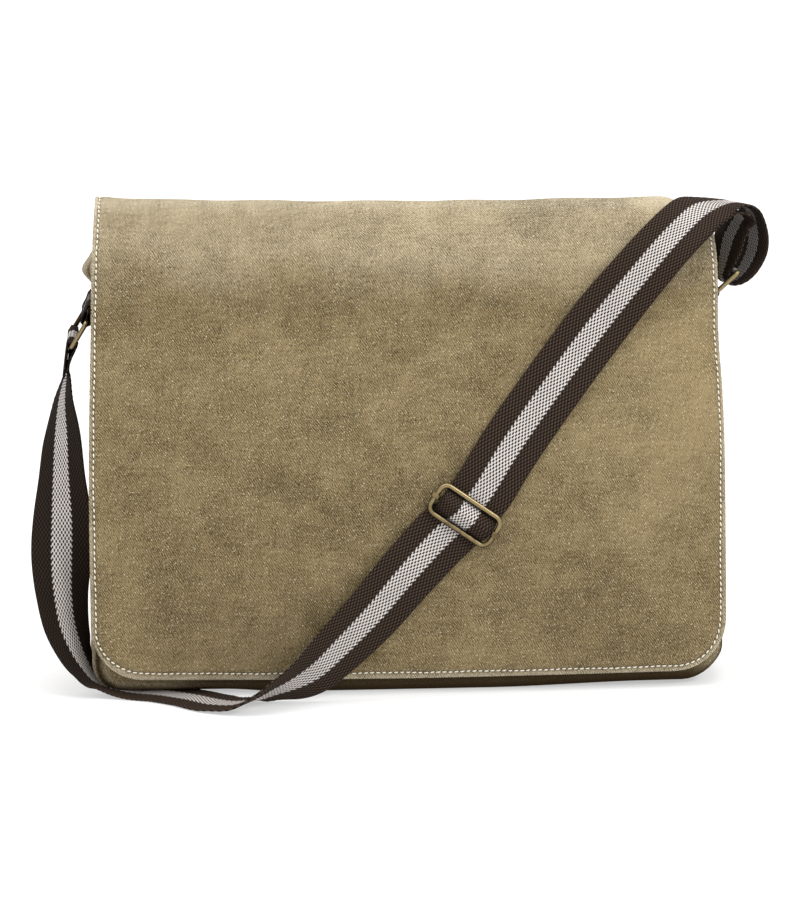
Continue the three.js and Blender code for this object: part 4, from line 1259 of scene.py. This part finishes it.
class Look:
    """One material and the nodes that make it."""

    def __init__(self, name, **constants):
        self.material = bpy.data.materials.new(name)
        self.material.use_nodes = True
        self.tree = self.material.node_tree
        self.shader = self.tree.nodes["Principled BSDF"]
        for socket, value in constants.items():
            self.shader.inputs[socket.replace("_", " ")].default_value = value

    def node(self, kind, settings, sockets, output=0):
        """Adds a node: its settings first, then the values or links of its sockets."""
        node = self.tree.nodes.new(kind)
        for key, value in settings.items():
            setattr(node, key, value)
        for key, value in sockets.items():
            self.feed(node.inputs[key], value)
        return Value(self, node.outputs[output])

    def feed(self, socket, value):
        """Links a value to a socket, or sets the socket to a plain number or colour."""
        if isinstance(value, Value):
            self.tree.links.new(value.socket, socket)
        else:
            socket.default_value = value

    def math(self, operation, *values):
        """A Math node on one or two values."""
        return self.node("ShaderNodeMath", {"operation": operation}, dict(enumerate(values)))

    def step(self, value, low, high):
        """A smooth ramp from 0 at low to 1 at high."""
        sockets = {"Value": value, "From Min": low, "From Max": high}
        return self.node("ShaderNodeMapRange", {"interpolation_type": "SMOOTHSTEP"}, sockets)

    def mix(self, share, first, second):
        """Colour between two colours, each linked or plain."""
        settings = {"data_type": "RGBA", "clamp_factor": True}
        return self.node("ShaderNodeMix", settings, {0: share, 6: rgba(first), 7: rgba(second)}, 2)

    def cloth_place(self):
        """Place on the flat cloth, in millimetres."""
        return self.node("ShaderNodeUVMap", {"uv_map": "cloth"}, {})

    def object_place(self):
        """Place in the piece's own axes, in metres."""
        return self.node("ShaderNodeTexCoord", {}, {}, "Object")

    def turned(self, place, degrees, lengths):
        """Place in axes turned about the cloth's normal, counted in the given lengths."""
        sockets = {"Vector": place, "Rotation": (0, 0, math.radians(degrees)), "Scale": (*lengths, 1)}
        return self.node("ShaderNodeMapping", {"vector_type": "TEXTURE"}, sockets)

    def noise(self, place, scale, detail, roughness=0.5):
        """Noise with features about one over scale wide."""
        sockets = {"Vector": place, "Scale": scale, "Detail": detail, "Roughness": roughness}
        return self.node("ShaderNodeTexNoise", {}, sockets)

    def part(self, place, axis):
        """One coordinate of a place."""
        return self.node("ShaderNodeSeparateXYZ", {}, {0: place}, axis)

    def wave(self, value, pitch):
        """Cosine wave of a coordinate."""
        return self.math("COSINE", value * (2 * math.pi / pitch))

    def bump(self, height, distance, strength):
        """Normal from a height."""
        sockets = {"Height": height, "Distance": distance, "Strength": strength}
        return self.node("ShaderNodeBump", {}, sockets)

    def attribute(self, name):
        """A value kept on the points of the mesh."""
        return self.node("ShaderNodeAttribute", {"attribute_name": name}, {}, "Fac")

    def finish(self, **sockets):
        """Feeds the shader and gives the material."""
        for socket, value in sockets.items():
            self.feed(self.shader.inputs[socket.replace("_", " ")], value)
        return self.material


def rgba(colour):
    """A plain colour with full alpha; a linked one stays as it is."""
    return colour if isinstance(colour, Value) else (*colour, 1.0)


def canvas_look(cloth):
    """Washed twill canvas: diagonal yarn, pale slubs, soft patches, worn edges, dark seam lines, painted
    shade on the base, in creases and along the hem's stitches, painted shadows beside the strap and painted
    light over the top.
    """
    look = Look("washed_canvas", Specular_IOR_Level=0.05, Sheen_Weight=0.01, Sheen_Roughness=0.6)
    place = look.cloth_place()
    twill = look.noise(look.turned(place, TWILL_TURN, (0.55, 2.2)), scale=1.0, detail=1.0)
    weft = look.noise(look.turned(place, 0, (1.1, 0.5)), scale=1.0, detail=0.0)
    grain = look.noise(place, scale=2.1, detail=0.0)
    patches = look.noise(place, scale=0.1, detail=2.0)
    clouds = look.noise(place, scale=0.03, detail=3.0, roughness=0.55)
    flecks = look.noise(look.turned(place, TWILL_TURN, (0.75, 1.1)), scale=1.0, detail=0.0)
    slubs = look.step(flecks, 0.71, 0.79)
    run = look.part(look.turned(place, TWILL_TURN, (1.0, 1.0)), 0)
    clumps = look.noise(place, scale=0.45, detail=1.0)
    lines = look.wave(run + (patches - 0.5) * 3.0, TWILL_PITCH) * (0.6 + (clumps - 0.5) * 2.4)
    yarn = (twill - 0.5) * 1.4 + (weft - 0.5) * 0.6 + (grain - 0.5) * 0.95 + lines * 0.38
    streaks = look.noise(look.turned(place, 0, (16.0, 2.4)), scale=1.0, detail=2.0)
    falls = look.noise(look.turned(place, 0, (3.0, 22.0)), scale=1.0, detail=2.0)
    wash = (patches - 0.5) * 0.35 + (clouds - 0.5) * 0.65 + (streaks - 0.5) * 0.38 + (falls - 0.5) * 0.24
    # Tone adds washed patches and painted shadows beside the strap
    tone = yarn + wash + look.attribute("fade") + 0.495
    # Wear, and painted light over the flap's top, turn the cloth paler
    wear_and_light = look.attribute("wear_and_light")
    dark = look.mix(wear_and_light, cloth.dark, cloth.worn_dark)
    pale = look.mix(wear_and_light, cloth.pale, cloth.worn)
    colour = look.mix(tone, dark, pale)
    colour = look.mix(slubs * 0.75, colour, cloth.slub)
    # Dark seam lines, and painted shade on the base, in the ear's crease and in the hem's groove
    colour = look.mix(look.attribute("shade_and_seams"), colour, cloth.shade_and_seams)
    normal = look.bump(twill + grain * 0.7, distance=0.0003, strength=0.6)
    return look.finish(Base_Color=colour, Roughness=0.98 - twill * 0.1, Normal=normal)


def webbing_look(strap):
    """Woven webbing: dark brown pebbled bands beside a pale stripe with dark eyes."""
    look = Look("striped_webbing", Specular_IOR_Level=0.08)
    place = look.cloth_place()
    across = look.part(place, 0)
    along = look.part(place, 1)
    cell, pitch = strap.cell / MM, strap.pitch / MM
    lattice = look.wave(across + STRAP_WIDTH / 2, cell) * look.wave(along, pitch)
    eyes = look.step(lattice, -0.25, 0.4)
    pebbles = look.step(lattice, 0.4, -0.7)
    fuzz = look.noise(place, scale=2.2, detail=2.0, roughness=0.6)
    slow = look.noise(place, scale=0.06, detail=2.0)
    scallop = look.wave(along + pitch / 4, pitch) * 0.5
    inside = strap.stripe / MM / 2 - abs(across) + scallop
    stripe = look.step(inside, -0.25, 0.3)
    lit = 1.0 - look.attribute("shade")
    brown = look.mix(pebbles * (0.3 + fuzz * 1.1) * lit, strap.dark, strap.brown)
    pale = look.mix(eyes * (0.9 + fuzz * 0.2), strap.pale, strap.eye)
    pale = look.mix((slow - 0.4) * 0.25, pale, strap.eye)
    # Painted shade in and under the slider, and the darkened left tab, pull the webbing to its dark ground
    colour = look.mix(look.attribute("shade_and_seams"), look.mix(stripe, brown, pale), strap.dark)
    normal = look.bump((0.5 - lattice * 0.5) + fuzz * 0.35, distance=0.0004, strength=0.6)
    return look.finish(Base_Color=colour, Roughness=0.95 - pebbles * 0.12, Normal=normal)


def thread_look(cloth):
    """Cream sewing thread."""
    look = Look("cream_thread", Specular_IOR_Level=0.3)
    place = look.object_place()
    shade = look.noise(place, scale=900.0, detail=2.0)
    colour = look.mix(shade, cloth.thread_shade, cloth.thread)
    return look.finish(Base_Color=colour, Roughness=0.7 + shade * 0.2)


def brass_look(brass):
    """Antique brass: dark in patches, rubbed bright elsewhere, with painted reflection lighting some sides
    of the wire and darkening others.
    """
    look = Look("antique_brass", Metallic=1.0, Coat_Weight=0.1)
    place = look.object_place()
    patches = look.noise(place, scale=160.0, detail=3.0, roughness=0.6)
    grain = look.noise(place, scale=1400.0, detail=2.0)
    # Painted reflection and rubbing from the mesh, broken by tarnished patches
    rubbed_and_reflection = look.step(look.attribute("rubbed_and_reflection") + (patches - 0.5) * 0.7 + (grain - 0.5) * 0.2, 0.3, 0.85)
    colour = look.mix(rubbed_and_reflection, brass.dark, brass.bright)
    roughness = 0.48 - rubbed_and_reflection * 0.14 + (grain - 0.5) * 0.12
    normal = look.bump(grain, distance=0.00005, strength=0.25)
    return look.finish(Base_Color=colour, Roughness=roughness, Normal=normal)


def floor_look(stage):
    """Plain pale floor with a faint unevenness."""
    look = Look("pale_floor", Specular_IOR_Level=0.0, Emission_Strength=stage.glow)
    place = look.object_place()
    shade = look.noise(place, scale=3.0, detail=2.0)
    return look.finish(Base_Color=rgba(stage.floor), Roughness=0.9 + shade * 0.1)


# Settings

def colour_setting(name, description, default):
    """A colour that a user may change."""
    return bpy.props.FloatVectorProperty(
        name=name, description=description, default=default, size=3, min=0, max=1, subtype="COLOR",
    )


def number_setting(name, description, default, **limits):
    """A number that a user may change."""
    return bpy.props.FloatProperty(name=name, description=description, default=default, **limits)


def length_setting(name, description, default):
    """A length that a user may change, in metres."""
    return number_setting(name, description, default, min=0, unit="LENGTH", precision=5)


class BagCanvasSettings(bpy.types.PropertyGroup):
    """Canvas and thread"""

    dark: colour_setting("Dark yarn", "Darkest tone of the canvas", (0.04, 0.028, 0.0105))
    pale: colour_setting("Pale yarn", "Palest tone of the canvas", (0.288, 0.22, 0.116))
    # The worn tones also paint the light over the flap's top
    worn: colour_setting("Worn pale yarn", "Palest tone of rubbed canvas", (0.57, 0.5, 0.37))
    worn_dark: colour_setting("Worn dark yarn", "Darkest tone of rubbed canvas", (0.095, 0.077, 0.045))
    slub: colour_setting("Slubs", "Tone of the pale flecks", (0.62, 0.56, 0.43))
    # Tone of the dark seam lines and of the painted shade on the base, in creases and along the hem
    shade_and_seams: colour_setting("Soil", "Tone of the darkened base", (0.021, 0.0118, 0.0035))
    thread: colour_setting("Thread", "Cream sewing thread", (0.8, 0.755, 0.65))
    thread_shade: colour_setting("Thread shade", "Darker side of the thread", (0.62, 0.565, 0.45))
    hem: length_setting("Hem", "Width of the flap's doubled hem", 0.0075)
    stitch_pitch: length_setting("Stitch pitch", "Distance from one stitch to the next", 0.0038)
    stitch_length: length_setting("Stitch length", "Length of one stitch", 0.0028)


class BagStrapSettings(bpy.types.PropertyGroup):
    """Webbing"""

    dark: colour_setting("Dark webbing", "Ground of the dark bands", (0.0072, 0.0048, 0.0036))
    brown: colour_setting("Brown webbing", "Raised yarn of the dark bands", (0.066, 0.044, 0.031))
    pale: colour_setting("Stripe", "Raised yarn of the stripe", (0.55, 0.51, 0.485))
    eye: colour_setting("Stripe eyes", "Sunk yarn of the stripe", (0.014, 0.01, 0.008))
    stripe: length_setting("Stripe width", "Width of the pale middle stripe", 0.0127)
    cell: length_setting("Cell width", "Width of one woven cell", 0.0022353)
    pitch: length_setting("Cell pitch", "Length of one woven cell", 0.0038)
    relief: length_setting("Relief", "Height of the raised yarn", 0.00012)


class BagBrassSettings(bpy.types.PropertyGroup):
    """Rings and slider"""

    # The dark tone also paints the dark sides of the wire's reflection
    dark: colour_setting("Dark brass", "Tarnish in the hollows", (0.04, 0.024, 0.009))
    bright: colour_setting("Bright brass", "Rubbed brass", (0.25, 0.192, 0.097))


class BagStageSettings(bpy.types.PropertyGroup):
    """Camera, floor and light"""

    azimuth: number_setting(
        "Azimuth", "Turn of the camera about the bag", math.radians(-4.5), unit="ROTATION",
    )
    elevation: number_setting(
        "Elevation", "Angle of the camera above the horizon", math.radians(9.0), unit="ROTATION",
    )
    distance: length_setting("Distance", "Distance from the camera to its aim", 1.6)
    aim: bpy.props.FloatVectorProperty(
        name="Aim", description="Point that the camera looks at", default=(-0.003, 0.0, 0.142),
        subtype="XYZ", unit="LENGTH",
    )
    lens: number_setting("Lens", "Focal length in millimetres on a 36 mm sensor", 98.11, min=1)
    floor: colour_setting("Floor", "Pale floor", (0.47, 0.47, 0.47))
    reach: length_setting("Floor reach", "Radius of the round floor", 1.1)
    glow: number_setting("Floor glow", "Strength of the light that the floor gives off", 0.46, min=0)
    sky: number_setting("Sky", "Strength of the even light from all round", 1.25, min=0)
    key: number_setting("Key light", "Power of the large light above the bag", 30.0, min=0, unit="POWER")


# Operators

class BAG_OT_body(bpy.types.Operator):
    """Build the front panel, the back panel and the gusset"""

    bl_idname = "bag.body"
    bl_label = "Body"

    def execute(self, context):
        look = canvas_look(context.scene.bag_canvas)
        build_panel("front_panel_cloth", "front_panel", -1, 1.0, look)
        build_panel("back_panel_cloth", "back_panel", 1, BACK_BELLY, look)
        build_gusset(look)
        return {"FINISHED"}


class BAG_OT_flap(bpy.types.Operator):
    """Build the flap with its hem and stitches"""

    bl_idname = "bag.flap"
    bl_label = "Flap"

    def execute(self, context):
        cloth_settings = context.scene.bag_canvas
        look = bpy.data.materials.get("washed_canvas") or canvas_look(cloth_settings)
        piece, cloth = build_flap(look, cloth_settings.hem / MM)
        stitches = build_stitches(
            cloth, thread_look(cloth_settings),
            cloth_settings.stitch_pitch / MM, cloth_settings.stitch_length / MM,
        )
        return {"FINISHED"}


class BAG_OT_strap(bpy.types.Operator):
    """Build the shoulder strap and the two ring tabs"""

    bl_idname = "bag.strap"
    bl_label = "Strap and tabs"

    def execute(self, context):
        settings = context.scene.bag_strap
        look = webbing_look(settings)
        # The last number of each band darkens all of it: the left tab is darker all over
        bands = (
            ("strap_webbing", "strap", strap_rows(), STRAP_WIDTH, 0.0),
            ("ring_tab_left_webbing", "ring_tab_left", left_tab_rows(), TAB_WIDTH, 0.7),
            ("ring_tab_right_webbing", "ring_tab_right", right_tab_rows(), TAB_WIDTH, 0.0),
        )
        for name, node, rows, width, shade_and_seams in bands:
            band = Webbing(rows, width, settings.pitch / MM)
            points, faces, flat = band.mesh(settings.cell / MM, STRAP_THICK, settings.relief / MM)
            # Painted shade in and under the slider, the left tab's darkening, and painted shade on the
            # hanging strap
            marks = {"shade_and_seams": np.maximum(slider_shade(points), shade_and_seams), "shade": hanging_shade(points)}
            piece = make_piece(name, points, faces, look, flat, marks)
            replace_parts(piece, node)
        return {"FINISHED"}


class BAG_OT_brass(bpy.types.Operator):
    """Build the wire rings and the slider"""

    bl_idname = "bag.brass"
    bl_label = "Rings and slider"

    def execute(self, context):
        look = brass_look(context.scene.bag_brass)
        meshes = (
            ("ring_left_wire", "ring_left", ring_mesh(LEFT_RING)),
            ("ring_right_wire", "ring_right", ring_mesh(RIGHT_RING)),
            ("slider_frame_wire", "slider_frame", slider_frame_mesh()),
            ("slider_bar_rod", "slider_bar", slider_bar_mesh()),
        )
        for name, node, (points, faces, rubbed_and_reflection) in meshes:
            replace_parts(make_piece(name, points, faces, look, None, {"rubbed_and_reflection": rubbed_and_reflection}), node)
        return {"FINISHED"}


class BAG_OT_stage(bpy.types.Operator):
    """Set up the floor, the soft light and the camera"""

    bl_idname = "bag.stage"
    bl_label = "Stage"

    def execute(self, context):
        scene = context.scene
        stage = scene.bag_stage
        turns = round_angles(FLOOR_SIDES)
        rim = [(stage.reach * math.cos(turn), stage.reach * math.sin(turn), 0) for turn in turns]
        mesh = bpy.data.meshes.new("floor")
        mesh.from_pydata(rim, [], [range(len(rim))])
        mesh.materials.append(floor_look(stage))
        floor = add_object("floor", mesh)
        world = bpy.data.worlds.new("studio")
        world.use_nodes = True
        background = world.node_tree.nodes["Background"]
        background.inputs["Color"].default_value = (1, 1, 1, 1)
        background.inputs["Strength"].default_value = stage.sky
        scene.world = world
        for name, place, size, share in STAGE_LIGHTS:
            light = bpy.data.lights.new(name, "AREA")
            light.shape = "DISK"
            light.size = size
            light.energy = stage.key * share
            add_object(name, light, place, Vector(stage.aim) - Vector(place))
        back = Vector((
            math.sin(stage.azimuth) * math.cos(stage.elevation),
            -math.cos(stage.azimuth) * math.cos(stage.elevation),
            math.sin(stage.elevation),
        ))
        view = bpy.data.cameras.new("camera")
        view.lens = stage.lens
        view.sensor_width = SENSOR_WIDTH
        scene.camera = add_object("camera", view, Vector(stage.aim) + back * stage.distance, -back)
        scene.view_settings.view_transform = "Standard"
        return {"FINISHED"}


class BAG_PT_sidebar(bpy.types.Panel):
    """Settings and steps of the bag"""

    bl_label = "Canvas dispatch bag"
    bl_idname = "BAG_PT_sidebar"
    bl_space_type = "VIEW_3D"
    bl_region_type = "UI"
    bl_category = "Bag"

    def draw(self, context):
        for holder, kind in SETTINGS.items():
            box = self.layout.box()
            box.label(text=kind.__doc__)
            for name in kind.__annotations__:
                box.prop(getattr(context.scene, holder), name)
        for step in STEPS:
            self.layout.operator(step.bl_idname)


SETTINGS = {
    "bag_canvas": BagCanvasSettings,
    "bag_strap": BagStrapSettings,
    "bag_brass": BagBrassSettings,
    "bag_stage": BagStageSettings,
}
STEPS = (BAG_OT_body, BAG_OT_flap, BAG_OT_strap, BAG_OT_brass, BAG_OT_stage)


def register():
    """Registers the settings, the steps and the panel."""
    for kind in (*SETTINGS.values(), *STEPS, BAG_PT_sidebar):
        bpy.utils.register_class(kind)
    for holder, kind in SETTINGS.items():
        setattr(bpy.types.Scene, holder, bpy.props.PointerProperty(type=kind))


def unregister():
    """Takes back what register added."""
    for holder in SETTINGS:
        delattr(bpy.types.Scene, holder)
    for kind in (BAG_PT_sidebar, *reversed(STEPS), *SETTINGS.values()):
        bpy.utils.unregister_class(kind)


def main():
    """Builds the bag."""
    register()
    bpy.ops.bag.body()
    bpy.ops.bag.flap()
    bpy.ops.bag.strap()
    bpy.ops.bag.brass()
    bpy.ops.bag.stage()


if __name__ == "__main__":
    main()
